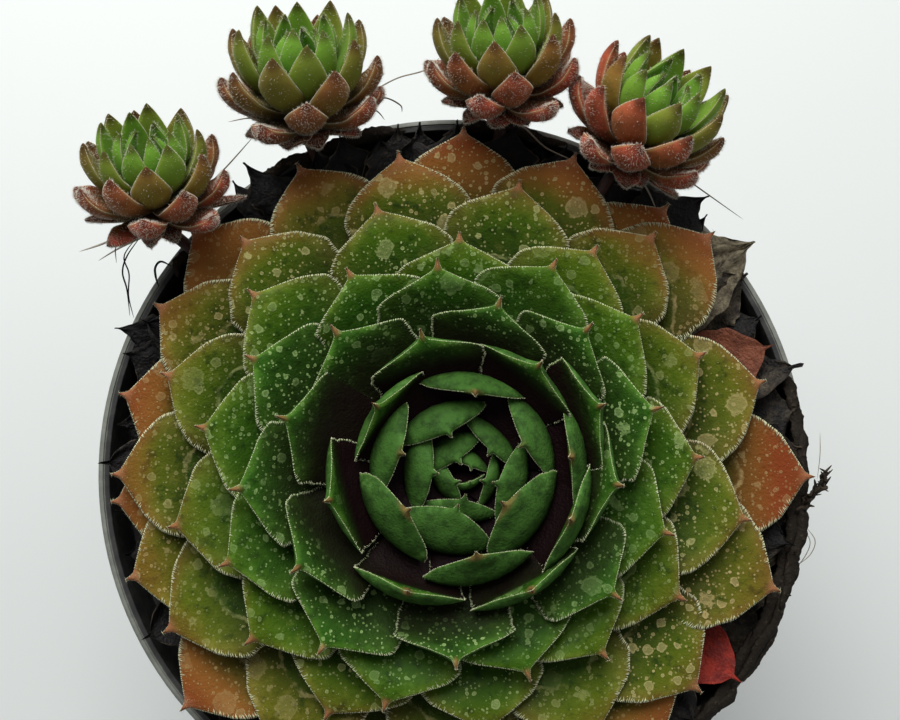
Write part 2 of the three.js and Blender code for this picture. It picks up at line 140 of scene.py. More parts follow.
# How grey some dry leaves are; the others have 0.3.
DRY_GREY = {91: 0.95, 96: 0.48}

# Papery sheets of dead leaves round the old stem: azimuth, inner and outer radius, height from
# the rim, width, how far the point stands to one side, and how grey the sheet is.
SCRAPS = (
    (121, 46, 61.5, 2.8, 9, 0.5, 0.1), (127, 50, 61, 1.6, 5, 0.2, 0.2),
    (115, 44, 58.5, 2.2, 12, -0.2, 0.1), (107, 44, 58.8, 2.6, 13, 0.2, 0.15),
    (100, 44, 58.6, 2.4, 12, -0.1, 0.3), (94, 46, 58.5, 1.8, 9, 0.2, 0.1),
    (88, 46, 58.5, 3, 10, 0.1, 0.1), (81, 46, 58.5, 3.4, 11, -0.2, 0.2),
    (74, 44, 58, 1.2, 10, 0, 0.2), (68, 44, 58, 1.4, 11, 0.2, 0.1),
    (61, 45, 58, 1.6, 12, -0.1, 0.3), (55, 46, 60, 2, 13, -0.3, 0.1),
    (50, 46, 63.3, 2.8, 13, -0.35, 0.15), (43, 47, 61, 1.6, 9, 0.1, 0.1),
    (38, 48, 64, 3, 11, -0.2, 0.95), (31, 48, 60, 1.4, 10, 0.2, 0.6), (25, 48, 59, 0, 9, 0, 0.2),
    (18, 48, 60, 0, 9, -0.25, 0.4), (9, 49, 59.5, 1.4, 11, 0, 0.5),
    (2, 49, 59, 1, 9, 0.1, 0.6), (-8, 48, 59, 0.6, 10, 0, 0.5), (-16, 48, 59.5, 0.4, 9, 0.2, 0.7),
    (-23, 48, 60.5, 0.2, 8, 0.3, 0.5), (-29, 48, 61, -0.6, 9, -0.1, 0.6),
    (-37, 48, 59.5, -1, 8, 0.1, 0.3), (156, 48, 61.5, 0.8, 7, 0.3, 0.1),
    (161, 49, 58.5, 0.2, 8, 0, 0.2), (173, 48, 57, -1, 8, 0, 0.2), (187, 48, 57, -2, 8, 0.2, 0.3),
    (196, 48, 57, -2.4, 8, 0, 0.2),
)

# Roots and threads: radius, tone (0 pale, 1 black) and corners from the rim's plane.
ROOTS = (
    (0.20, 0.1, ((-47.5, 40.5, 7), (-53.7, 39, 5), (-59, 37, 4), (-63.4, 35.8, 3))),
    (0.16, 0.2, ((-47.8, 40, 6), (-51.2, 38.3, 5), (-57.1, 36.5, 2), (-61.4, 35, -1))),
    (0.15, 1.0, ((-52, 38, 6), (-54.6, 34.7, 5), (-55.6, 32.1, 4), (-55.2, 29.3, 2.5),
                 (-55, 24.9, 1))),
    (0.13, 1.0, ((-52.5, 38, 6), (-55.1, 34.7, 5), (-54.5, 31.8, 4), (-54.9, 28.3, 2.5),
                 (-54.3, 24.6, 1))),
    (0.10, 0.8, ((-53, 39, 6), (-56.4, 36.7, 5), (-56.7, 33.6, 4))),
    (0.22, 1.0, ((-50.2, 30, 1), (-50.6, 31.6, 1.6), (-50.6, 33.2, 2.2), (-49.6, 34.2, 2.5),
                 (-48, 33.6, 1.6))),
    (0.14, 0.4, ((-42.5, 44.5, 7), (-41.6, 45.7, 6.5), (-37.8, 50, 6), (-33.2, 54.9, 7))),
    (0.12, 0.3, ((-31, 57, 7), (-34.3, 58.1, 6), (-38.2, 57.8, 5))),
    (0.13, 0.35, ((-17, 60, 7), (-13, 62.3, 8), (-9.2, 64.4, 8), (-4.6, 65.4, 9),
                  (-2.1, 67.6, 9))),
    (0.14, 0.6, ((-17, 58.5, 6), (-14.3, 60.9, 6), (-11.4, 61.3, 7), (-8.9, 60.4, 6),
                 (-8.6, 59.5, 5))),
    (0.12, 0.5, ((-17, 58.8, 6), (-14.4, 60.2, 5), (-12.8, 59.9, 4), (-11.7, 59.1, 2))),
    (0.12, 0.5, ((33, 51.5, 5), (37, 50.1, 4), (42.7, 47, 1.5), (51.7, 43.2, -5))),
    (0.22, 0.15, ((27, 58.5, 5), (25.2, 58.5, 4.4), (24.4, 56.1, 3.6), (26.6, 53.8, 3.4),
                  (32.3, 47.9, 3.2), (34.8, 42.6, 3.4))),
    (0.16, 0.3, ((10, 58, 4.6), (12.4, 57, 4), (15.9, 53.8, 3.4), (21.2, 51.4, 3))),
    (0.06, 0.3, ((60.8, -2.7, 2), (61.1, 1.4, 3), (60.9, 5.2, 4))),
    (0.07, 0.4, ((58.3, -10, 0), (59.8, -13, 0.4), (58.6, -16, 0), (56.9, -17.6, -0.4))),
    (0.07, 0.4, ((58.8, -10, 0), (60.6, -12.6, 0.4), (60, -15, 0), (57.8, -17, -0.4))),
)

# Strips of dead skin along the rim: start and end azimuth, radius, height and half width.
RIM_STRIPS = (
    (17, 1, 58.9, 0.9, 1.2), (8, -9, 59.6, 1.1, 0.9), (4, -16, 58.5, 0.9, 1.5),
    (-3, -24, 59.4, 1.0, 1.2), (-12, -33, 58.4, 0.9, 1.6), (-18, -39, 59.6, 1.0, 1.0),
    (-27, -49, 58.6, 0.8, 1.5), (-36, -54, 59.5, 0.9, 1.1), (-44, -63, 58.5, 0.7, 1.4),
    (-52, -70, 59.4, 0.6, 0.9), (-8, -20, 60.1, 0.6, 0.6), (-24, -37, 60.2, 0.5, 0.6),
    (128, 112, 59.2, 1.1, 1.1), (118, 98, 58.4, 1.2, 1.4), (92, 70, 58.8, 1.2, 1.2),
    (146, 137, 58.6, 0.8, 1.1),
)

# The frayed old root at the right of the pot: its middle line, and the number of its fibres.
FRAY = ((56.9, -15, -1.5), (57.4, -10, 0), (59, -6.6, 1), (60.8, -4.4, 2), (61.9, -2.2, 2.4),
        (62.2, 0.2, 2.8))
FRAY_FIBRES = 30


# ---- small tools ----


def jitter(n, purpose):
    """A repeatable number from -1 to 1 for the nth of its kind, another one for each purpose."""
    s = math.sin(n * 12.9898 + purpose * 78.233) * 43758.5453
    return 2 * (s - math.floor(s)) - 1


def along_table(table, x):
    """The value at x of a table of places and values."""
    places, values = zip(*table)
    return float(np.interp(x, places, values))


def clamp(x):
    return np.clip(x, 0, 1)


def smooth(x, low, high):
    """0 below low, 1 above high, and smooth between."""
    t = clamp((np.asarray(x, float) - low) / (high - low))
    return t * t * (3 - 2 * t)


def crease(x):
    """A wave like a sine with straight flanks and sharp folds."""
    return np.arcsin(np.sin(x)) * 2 / math.pi


def unit(v):
    v = np.asarray(v, float)
    return v / np.maximum(np.linalg.norm(v, axis=-1, keepdims=True), 1e-9)


def srgb(r, g, b):
    """Linear colour from screen values of 0 to 255."""
    return tuple(
        c / 255 / 12.92 if c <= 10 else ((c / 255 + 0.055) / 1.055) ** 2.4 for c in (r, g, b)
    )


# ---- finishes ----


def math_method(operation, reflected=False):
    """A method of Value that adds one Math node; the reflected form puts the value second."""

    def method(self, other=0.0):
        first, second = (other, self) if reflected else (self, other)
        settings = {"operation": operation}
        return self.finish.number("ShaderNodeMath", settings, {0: first, 1: second})

    return method


class Value:
    """A number socket that plain arithmetic works on."""

    def __init__(self, finish, socket):
        self.finish = finish
        self.socket = socket

    __add__, __radd__ = math_method("ADD"), math_method("ADD", reflected=True)
    __sub__, __rsub__ = math_method("SUBTRACT"), math_method("SUBTRACT", reflected=True)
    __mul__, __rmul__ = math_method("MULTIPLY"), math_method("MULTIPLY", reflected=True)
    __abs__ = math_method("ABSOLUTE")
    at_most = math_method("MINIMUM")
    at_least = math_method("MAXIMUM")

    def rise(self, low, high):
        """0 below low, 1 above high, and smooth between; low may be the larger one."""
        return self.finish.number(
            "ShaderNodeMapRange",
            {"interpolation_type": "SMOOTHSTEP"},
            {"Value": self, "From Min": low, "From Max": high, "To Min": 0.0, "To Max": 1.0},
        )


def set_stops(ramp, stops):
    """Sets a ramp's stops, each a place and the red, green and blue of the screen."""
    while len(ramp.elements) < len(stops):
        ramp.elements.new(0.5)
    for element, (place, *screen) in zip(ramp.elements, stops):
        element.position = place
        element.color = (*srgb(*screen), 1.0)


class Finish:
    """A material whose nodes are written as expressions."""

    def __init__(self, name):
        self.material = bpy.data.materials.new(name)
        self.material.use_nodes = True
        self.tree = self.material.node_tree
        self.shader = self.tree.nodes["Principled BSDF"]

    def node(self, kind, settings, inlets):
        """Adds a node: its settings first, then the values or links of its sockets."""
        made = self.tree.nodes.new(kind)
        for key, value in settings.items():
            if key == "stops":
                set_stops(made.color_ramp, value)
            else:
                setattr(made, key, value)
        for key, value in inlets.items():
            self.plug(made.inputs[key], value)
        return made

    def plug(self, socket, value):
        """Links a socket to a value, or sets it to a number or a colour."""
        if isinstance(value, Value):
            value = value.socket
        if isinstance(value, bpy.types.NodeSocket):
            self.tree.links.new(value, socket)
        elif socket.type == "RGBA" and len(value) == 3:
            socket.default_value = (*value, 1.0)
        else:
            socket.default_value = value

    def number(self, kind, settings, inlets, outlet=0):
        return Value(self, self.node(kind, settings, inlets).outputs[outlet])

    def place(self):
        return self.node("ShaderNodeTexCoord", {}, {}).outputs["Object"]

    def parts(self, vector):
        """The three numbers of a vector."""
        made = self.node("ShaderNodeSeparateXYZ", {}, {0: vector})
        return [Value(self, socket) for socket in made.outputs]

    def attribute(self, name):
        """The three numbers of a point attribute."""
        source = self.node("ShaderNodeAttribute", {"attribute_name": name}, {})
        return self.parts(source.outputs["Vector"])

    def grain(self, size, detail=3.0, roughness=0.55, vector=None, distortion=0.0):
        """Noise from 0 to 1 whose features are about size millimetres wide."""
        inlets = {"Vector": vector or self.place(), "Scale": 1 / (size * MM), "Detail": detail,
                  "Roughness": roughness, "Distortion": distortion}
        return self.number("ShaderNodeTexNoise", {}, inlets, "Fac")

    def cells(self, size):
        """Cells of about size millimetres: distance to the nearest middle, and its own chance."""
        inlets = {"Vector": self.place(), "Scale": 1 / (size * MM)}
        made = self.node("ShaderNodeTexVoronoi", {}, inlets)
        chances = self.node("ShaderNodeSeparateColor", {}, {0: made.outputs["Color"]})
        return Value(self, made.outputs["Distance"]), Value(self, chances.outputs[0])

    def ramp(self, value, *stops):
        """A colour for a value from 0 to 1, through stops of a place and red, green and blue."""
        return self.node("ShaderNodeValToRGB", {"stops": stops}, {0: value}).outputs["Color"]

    def mix(self, factor, first, second):
        inlets = {0: factor, 6: first, 7: second}
        return self.node("ShaderNodeMix", {"data_type": "RGBA"}, inlets).outputs[2]

    def coats(self, colour, *coats):
        """Lays coats over a colour, each a mask and the colour that covers where it is 1."""
        for mask, cover in coats:
            colour = self.mix(mask, colour, cover)
        return colour

    def bump(self, height, depth, strength=1.0):
        """A normal for a height from 0 to 1 that stands for depth millimetres."""
        inlets = {"Height": height, "Distance": depth * MM, "Strength": strength}
        return self.node("ShaderNodeBump", {}, inlets).outputs["Normal"]

    def set(self, **values):
        """Sets or links the shader's sockets; an underscore stands for a space."""
        for key, value in values.items():
            self.plug(self.shader.inputs[key.replace("_", " ")], value)
        return self.material


# ---- bmesh templates and pieces ----


def close_up(bm):
    """Merges doubles and turns the faces outwards."""
    bmesh.ops.remove_doubles(bm, verts=bm.verts[:], dist=1e-6)
    bmesh.ops.recalc_face_normals(bm, faces=bm.faces[:])


class Template:
    """A small shape from one of bmesh's create operators, whose copies are placed by formulas."""

    def __init__(self, create, **settings):
        bm = bmesh.new()
        create(bm, **settings)
        close_up(bm)
        bm.verts.index_update()
        self.corners = np.array([v.co for v in bm.verts], float)
        self.faces = [[v.index for v in face.verts] for face in bm.faces]
        bm.free()

    def mesh(self, name, copies, attributes=None):
        """One mesh of all copies; copies is an array of copy, corner and x, y, z in millimetres."""
        count = len(self.corners)
        faces = [[v + k * count for v in face] for k in range(len(copies)) for face in self.faces]
        mesh = bpy.data.meshes.new(name)
        mesh.from_pydata((np.reshape(copies, (-1, 3)) * MM).tolist(), [], faces)
        mesh.shade_smooth()
        for key, values in (attributes or {}).items():
            values = np.broadcast_to(values, np.shape(copies))
            layer = mesh.attributes.new(key, "FLOAT_VECTOR", "POINT")
            layer.data.foreach_set("vector", np.reshape(values, -1).astype(np.float32))
        return mesh


class Skin(Template):
    """A sphere laid out as a skin: how far along each corner is, and the turn round its length."""

    def __init__(self, rings, sides, crowding=1.0):
        create = bmesh.ops.create_uvsphere
        super().__init__(create, u_segments=sides, v_segments=rings, radius=1.0)
        x, y, z = self.corners.T
        step = 1 - np.arccos(np.clip(z, -1, 1)) / math.pi
        self.along = 1 - (1 - step) ** crowding
        pole = np.hypot(x, y) < 1e-4
        turn = np.arctan2(y, x)
        self.across = np.where(pole, 0.0, np.cos(turn))
        self.face = np.where(pole, 0.0, np.sin(turn))
        self.ring = np.where(pole, 0.0, 1.0)


def one_number(values):
    """The attribute growth for copies that need only one number each."""
    return {"growth": np.array([[(value, 0.0, 0.0)] for value in values])}


def new_object(name, data):
    made = bpy.data.objects.new(name, data)
    bpy.context.scene.collection.objects.link(made)
    return made


def add_piece(mesh, material, slot, *nodes):
    """Makes a piece of a finished mesh, with its name: it rides on the pot's body."""
    mesh.materials.append(material)
    piece = new_object(mesh.name, mesh)
    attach(piece, "root")
    if nodes:
        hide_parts(*nodes)


def lathe(bm, profile, steps):
    """Spins corners of radius and height in millimetres about +Z."""
    corners = [bm.verts.new((r * MM, 0, z * MM)) for r, z in profile]
    edges = [bm.edges.new(pair) for pair in zip(corners, corners[1:])]
    bmesh.ops.spin(
        bm, geom=corners + edges, cent=(0, 0, 0), axis=(0, 0, 1), angle=math.tau,
        steps=steps, use_merge=True,
    )


def finished_mesh(bm, name):
    """A smooth mesh of what bm holds, with its doubles merged."""
    close_up(bm)
    mesh = bpy.data.meshes.new(name)
    bm.to_mesh(mesh)
    bm.free()
    mesh.shade_smooth()
    return mesh


def turned_mesh(name, profile, steps):
    """A profile spun about the large rosette's axis, with heights from the rim."""
    bm = bmesh.new()
    lathe(bm, profile, steps)
    bmesh.ops.translate(bm, verts=bm.verts[:], vec=Vector(HEN_AT) * MM)
    return finished_mesh(bm, name)


# ---- leaves ----


@dataclass
class Leaf:
    """One leaf in its rosette's frame. Its rib bends from root over knee to tip, each a radius
    and a height; outline and girth give the share of its width and thickness along the rib."""

    number: int
    azimuth: float
    root: tuple
    knee: tuple
    tip: tuple
    width: float
    thickness: float
    cup: float
    outline: Callable
    girth: Callable
    lean: tuple = (0.0, 0.0, 0.0)
    bend: float = 0.0
    twist: float = 0.0
    wave: float = 0.0
    crumple: float = 0.0
    recurve: float = 0.0

    def __post_init__(self):
        turn = math.radians(self.azimuth)
        out = np.array([math.cos(turn), math.sin(turn), 0.0])
        self.side = np.array([-out[1], out[0], 0.0])
        self.points = [
            r * out + shift * np.array(self.lean) + np.array([0.0, 0.0, z])
            for (r, z), shift in zip((self.root, self.knee, self.tip), (0.0, 0.6, 1.0))
        ]

    def tip_length(self):
        """Millimetres of rib for each whole step along it, at the tip."""
        return 2 * float(np.linalg.norm(self.points[2] - self.points[1]))

    def frames(self, s):
        """Middle, tangent, side and upper face's direction at places along the rib."""
        a, b, c = self.points
        s = np.asarray(s, float)[..., None]
        middle = (1 - s) ** 2 * a + 2 * s * (1 - s) * b + s * s * c
        tangent = unit((1 - s) * (b - a) + s * (c - b))
        side = self.side + 0 * tangent
        face = np.cross(tangent, side)
        turn = self.twist * s
        return (
            middle,
            tangent,
            side * np.cos(turn) + face * np.sin(turn),
            face * np.cos(turn) - side * np.sin(turn),
        )

    def surface(self, s, u, v):
        """Corners at place s along, u across (-1 to 1) and v through (1 on top, -1 below)."""
        middle, _, side, face = self.frames(s)
        wide = self.outline(self, s)
        thick = self.girth(self, s)
        phase = 2.4 * self.number
        lift = self.cup * wide * u * u
        lift = lift + self.wave * wide * u * np.sin(9 * s + phase)
        lift = lift + 0.4 * self.wave * wide * u * u * np.sin(17 * s + 1.7 * phase)
        if self.crumple:
            folds = crease(11 * s + 4 * u + phase) + crease(19 * s - 7 * u + 2 * phase)
            folds = folds + 0.5 * crease(43 * s + 9 * u) + 0.9 * crease(9 * u + 3 * phase)
            lift = lift + self.crumple * folds * smooth(s, 0.1, 0.5)
        lift = lift - self.recurve * smooth(s, 0.84, 1.08) * 2
        half = self.thickness * thick / 2 * v
        sideways = u * wide * self.width / 2 + self.bend * self.width * s * s
        return middle + side * sideways[..., None] + face * (lift + half)[..., None]


def leaves_mesh(name, skin, leaves, place, growth, edge=1.5):
    """One mesh of all leaves. Its attributes say where on its leaf each corner is, and the three
    numbers of growth for each leaf. Edges are round for an edge of 1 and sharper for more."""
    v = np.sign(skin.face) * np.abs(skin.face) ** edge
    corners = np.array([place(leaf.surface(skin.along, skin.across, v)) for leaf in leaves])
    where = np.stack([skin.along, skin.across, skin.face], axis=-1)
    return skin.mesh(name, corners, {"leaf": where, "growth": np.array(growth)[:, None]})


# ---- hairs ----


class Hairs:
    """Slim three-sided hairs of one rosette, gathered and made as one mesh."""

    def __init__(self, place, seed):
        self.place = place
        self.rng = np.random.default_rng(seed)
        self.feet, self.ends, self.radii = [], [], []

    def add(self, feet, ends, radius):
        self.feet.append(self.place(feet))
        self.ends.append(self.place(ends))
        self.radii.append(np.full(len(feet), radius))

    def fringe(self, leaf, start, end, spacing, length, radius):
        """Cilia along both margins of a leaf, leaning towards its tip."""
        s = np.linspace(start, end, 240)
        face = leaf.frames(s)[-1]
        for edge in (-1.0, 1.0):
            line = leaf.surface(s, np.full_like(s, edge), np.zeros_like(s))
            run = np.concatenate([[0], np.cumsum(np.linalg.norm(np.diff(line, axis=0), axis=1))])
            stops = np.arange(0.5 * spacing, run[-1], spacing)
            stops = stops + self.rng.uniform(-0.3, 0.3, len(stops)) * spacing
            foot = np.stack([np.interp(stops, run, axis) for axis in line.T], axis=-1)
            tangent = unit(np.gradient(line, axis=0))
            outward = np.cross(face, tangent) * -edge
            pick = np.clip(np.searchsorted(run, stops), 0, len(s) - 1)
            way = outward[pick] + 0.45 * tangent[pick] + 0.35 * face[pick]
            way = way + self.rng.normal(0, 0.22, way.shape)
            size = length * self.rng.uniform(0.65, 1.15, len(stops))
            self.add(foot - 0.06 * outward[pick], foot + unit(way) * size[:, None], radius)

    def down(self, leaf, count, length, radius, start=0.25, end=0.97, sides=(-1, 1)):
        """Short down standing on a leaf's faces."""
        s = self.rng.uniform(start, end, count)
        u = self.rng.uniform(-0.92, 0.92, count)
        v = self.rng.choice(sides, count).astype(float)
        _, tangent, side, face = leaf.frames(s)
        foot = leaf.surface(s, u, v * (1 - u * u) ** 0.75)
        way = face * v[:, None] + 0.5 * tangent + side * (0.6 * u)[:, None]
        way = way + self.rng.normal(0, 0.25, way.shape)
        size = length * self.rng.uniform(0.6, 1.2, count)
        self.add(foot, foot + unit(way) * size[:, None], radius)

    def mesh(self, name):
        feet = np.concatenate(self.feet)
        rise = np.concatenate(self.ends) - feet
        length = np.linalg.norm(rise, axis=1)[:, None, None]
        radius = np.concatenate(self.radii)[:, None, None]
        way = unit(rise)
        first = unit(np.cross(way, np.array([0.31, 0.47, 0.83])))
        second = np.cross(way, first)
        cone = Template(bmesh.ops.create_cone, cap_ends=True, cap_tris=True, segments=3,
                        radius1=1.0, radius2=0.0, depth=1.0)
        x, y, z = (c[None, :, None] for c in cone.corners.T)
        spread = x * first[:, None] + y * second[:, None]
        return cone.mesh(name, feet[:, None] + radius * spread + (z + 0.5) * length * way[:, None])


# ---- the large rosette ----

# Tables over the leaf's number, as in the frame's source: 0 is the first leaf outside the bud.
# Each leaf's degrees away from the spiral, and the radius of its tip.
HEN_TIPS = (
    (-9, -34, 0.4), (-6, -33, 1.6), (-4, -30, 2.4), (-3, -22, 4.1), (-2, -34, 4.4), (-1, 0, 3.3),
    (0, -8, 6.3), (1, -10, 4.1), (2, -9, 8.6), (3, -12, 9.1), (4, 12, 6.3), (5, -8, 10.8),
    (6, -12, 8.5), (7, 1, 15.1), (8, 0, 14.6), (9, 3, 11.3), (10, -7, 18.7), (11, 0, 18.4),
    (12, 2, 17.2), (13, -6, 19.5), (14, 3, 18.2), (15, -5, 23), (16, 2, 25.7), (17, 1, 20.8),
    (18, -6, 25), (19, -2, 27.1), (20, -2, 24.5), (21, 1, 26.6), (22, 3, 28.8), (23, -3, 29.4),
    (24, 3, 32.7), (26, -4, 30.7), (27, -2, 34), (28, 0, 33), (29, 0, 35.2), (30, 1, 34.3),
    (31, -4, 35.5), (32, 0, 38.1), (33, 1, 35.8), (34, -2, 34.1), (35, -1, 38.5), (36, 3, 38.1),
    (37, 1, 40.1), (38, -1, 38.4), (39, 0, 36.7), (40, -2, 42), (41, -2, 40), (42, 0, 42.5),
    (44, 0, 42.5), (45, 1, 45.5), (46, 0, 42.8), (47, -2, 43.8), (49, 0, 45.1), (50, 2, 49),
    (52, 0, 48.1), (53, -3, 52.8), (54, -1, 49.2), (55, 5, 50.9), (57, 5, 51.2), (58, 2, 54.8),
    (59, -1, 53.9), (60, 4, 52.8), (62, 3, 53.8), (63, 3, 55.6), (65, 4, 56.1), (66, -2, 55.6),
    (67, 1, 57.1), (68, 0, 56.6), (70, 10, 58.7), (71, -1, 55.9), (73, 4, 56.9), (75, -1, 59.9),
    (76, 2, 59), (79, -3, 56.1),
)
HEN_TURN = [(n, turn) for n, turn, _ in HEN_TIPS]
HEN_TIP_RADIUS = [(n, radius) for n, _, radius in HEN_TIPS]
HEN_TIP_HEIGHT = (
    (-9, 12.8), (-2, 14.5), (2, 16.5), (6, 18.5), (12, 20.5), (20, 20), (30, 16.5), (45, 11.5),
    (60, 8), (79, 5.8),
)
HEN_WIDTH = (
    (-9, 6), (-6, 9.5), (-4, 12), (-1, 14.2), (1, 15), (4, 17), (9, 17.4), (15, 18), (25, 19),
    (45, 20.5), (79, 21.5),
)
HEN_BULGE = (
    (-9, 4), (-6, 8), (-4, 11), (-1, 14), (1, 17), (6, 17.5), (9, 13), (14, 12), (20, 8), (30, 4),
    (45, 1.2), (79, 0),
)
HEN_CLOSING = ((-9, 0), (0, 3), (6, 4), (9, 7), (14, 7), (20, 5), (30, 0))
HEN_KNEE = ((-9, 0.4), (6, 0.3), (14, 0.3), (30, 0.26), (79, 0.18))
HEN_WIDEST = 0.73
HEN_BLUNT = ((-9, 1), (4, 0.9), (9, 0.45), (20, 0.12), (79, 0.2))
HEN_RECURVE = ((-4, 0.2), (2, 0.5), (8, 1.5), (40, 1.2), (79, 0.6))

# Dried water marks in four sizes: millimetres from one to the next, radius as a share of that,
# the share of places without a mark, and strength.
WATER_MARKS = (
    (5.2, 0.32, 0.74, 0.5), (2.4, 0.30, 0.66, 0.7), (1.15, 0.26, 0.62, 0.9),
    (0.6, 0.28, 0.60, 0.95),
)


def at_hen(corners):
    """Moves corners from the large rosette's own frame to its place."""
    return corners + HEN_AT


def hen_age(n):
    return max(n, 0) / (HEN_LEAVES - 1)


def hen_outline(leaf, s):
    """Widest at three quarters, with shoulders that sweep into a short sharp point."""
    blunt = along_table(HEN_BLUNT, leaf.number)
    length = leaf.tip_length()
    low = 0.38 + 0.34 * blunt
    neck = low + (1 - low) * np.sin(clamp(s / HEN_WIDEST) * math.pi / 2) ** 1.6
    from_tip = (1 - s) * length
    shoulder_start = (1 - HEN_WIDEST) * length
    point = min(1.5, 0.09 * length)
    x = clamp((shoulder_start - from_tip) / (shoulder_start - point))
    shoulder = (1 - x ** (1.5 + 0.6 * blunt)) ** (1.05 - 0.45 * blunt)
    flare = 0.05 + 0.2 * from_tip + 0.11 * from_tip**2
    spike = np.clip(flare / (leaf.width / 2), 0, 0.42) * clamp(from_tip / 0.3) ** 0.7
    spike = spike * smooth(s, 0.6, 0.85)
    ragged = 1 + 0.014 * np.sin(31 * s + leaf.number) + 0.010 * np.sin(67 * s + 3 * leaf.number)
    return (np.maximum(neck * shoulder * ragged, 0) ** 3 + spike**3) ** (1 / 3)


def hen_girth(leaf, s):
    """Thickest at the root and thin towards the tip, with a stout point."""
    return np.interp(s, (0, 0.45, 0.76, 0.93, 0.975, 1), (1.15, 1, 0.85, 0.6, 0.4, 0.05))


def hen_leaf(n):
    """A leaf of the large rosette; numbers under 0 are the bud's."""
    age = hen_age(n)
    loose = min(1, 0.25 + age * 2)
    width = along_table(HEN_WIDTH, n)
    tip_radius = along_table(HEN_TIP_RADIUS, n)
    tip_height = along_table(HEN_TIP_HEIGHT, n) + 0.5 * loose * jitter(n, 4)
    root = (0.4 + 7.6 * age, 8 - 9 * age)
    azimuth = HEN_PHASE + SPIRAL_ANGLE * n + along_table(HEN_TURN, n)
    closing = math.cos(math.radians(azimuth - HEN_CLOSING_SIDE))
    bulge = along_table(HEN_BULGE, n) + closing * along_table(HEN_CLOSING, n)
    knee = (root[0] + 0.6 * (tip_radius - root[0]) + bulge,
            root[1] + along_table(HEN_KNEE, n) * (tip_height - root[1]))
    return Leaf(
        n, azimuth, root, knee, (tip_radius, tip_height), outline=hen_outline, girth=hen_girth,
        width=width * (1 + 0.04 * jitter(n, 6)), thickness=1.4 if n < 0 else 2.7,
        cup=min(1.6, 0.15 * width), lean=HEN_CROWN_LEAN * max(0, 1 - max(n, 0) / 16),
        bend=0.04 * loose * jitter(n, 8), twist=0.09 * loose * jitter(n, 9),
        wave=0.12 + 0.25 * age, recurve=along_table(HEN_RECURVE, n),
    )


def water_marks(finish, warp, fine):
    """Round marks with paler rims, from 0 to 1."""
    marks = fine * 0
    for size, radius, share, strength in WATER_MARKS:
        reach, luck = finish.cells(size)
        reach = reach + 0.36 * (warp - 0.5) + 0.12 * (fine - 0.5)
        seen = luck.rise(share, share + 0.05)
        limit = radius * (0.45 + 0.75 * luck)
        disc = (limit - reach).rise(-0.02, 0.03)
        ring = abs(limit - 0.05 - reach).rise(0.06, 0.015)
        marks = marks.at_least((disc * 0.6 + ring * 0.4) * seen * strength)
    return marks


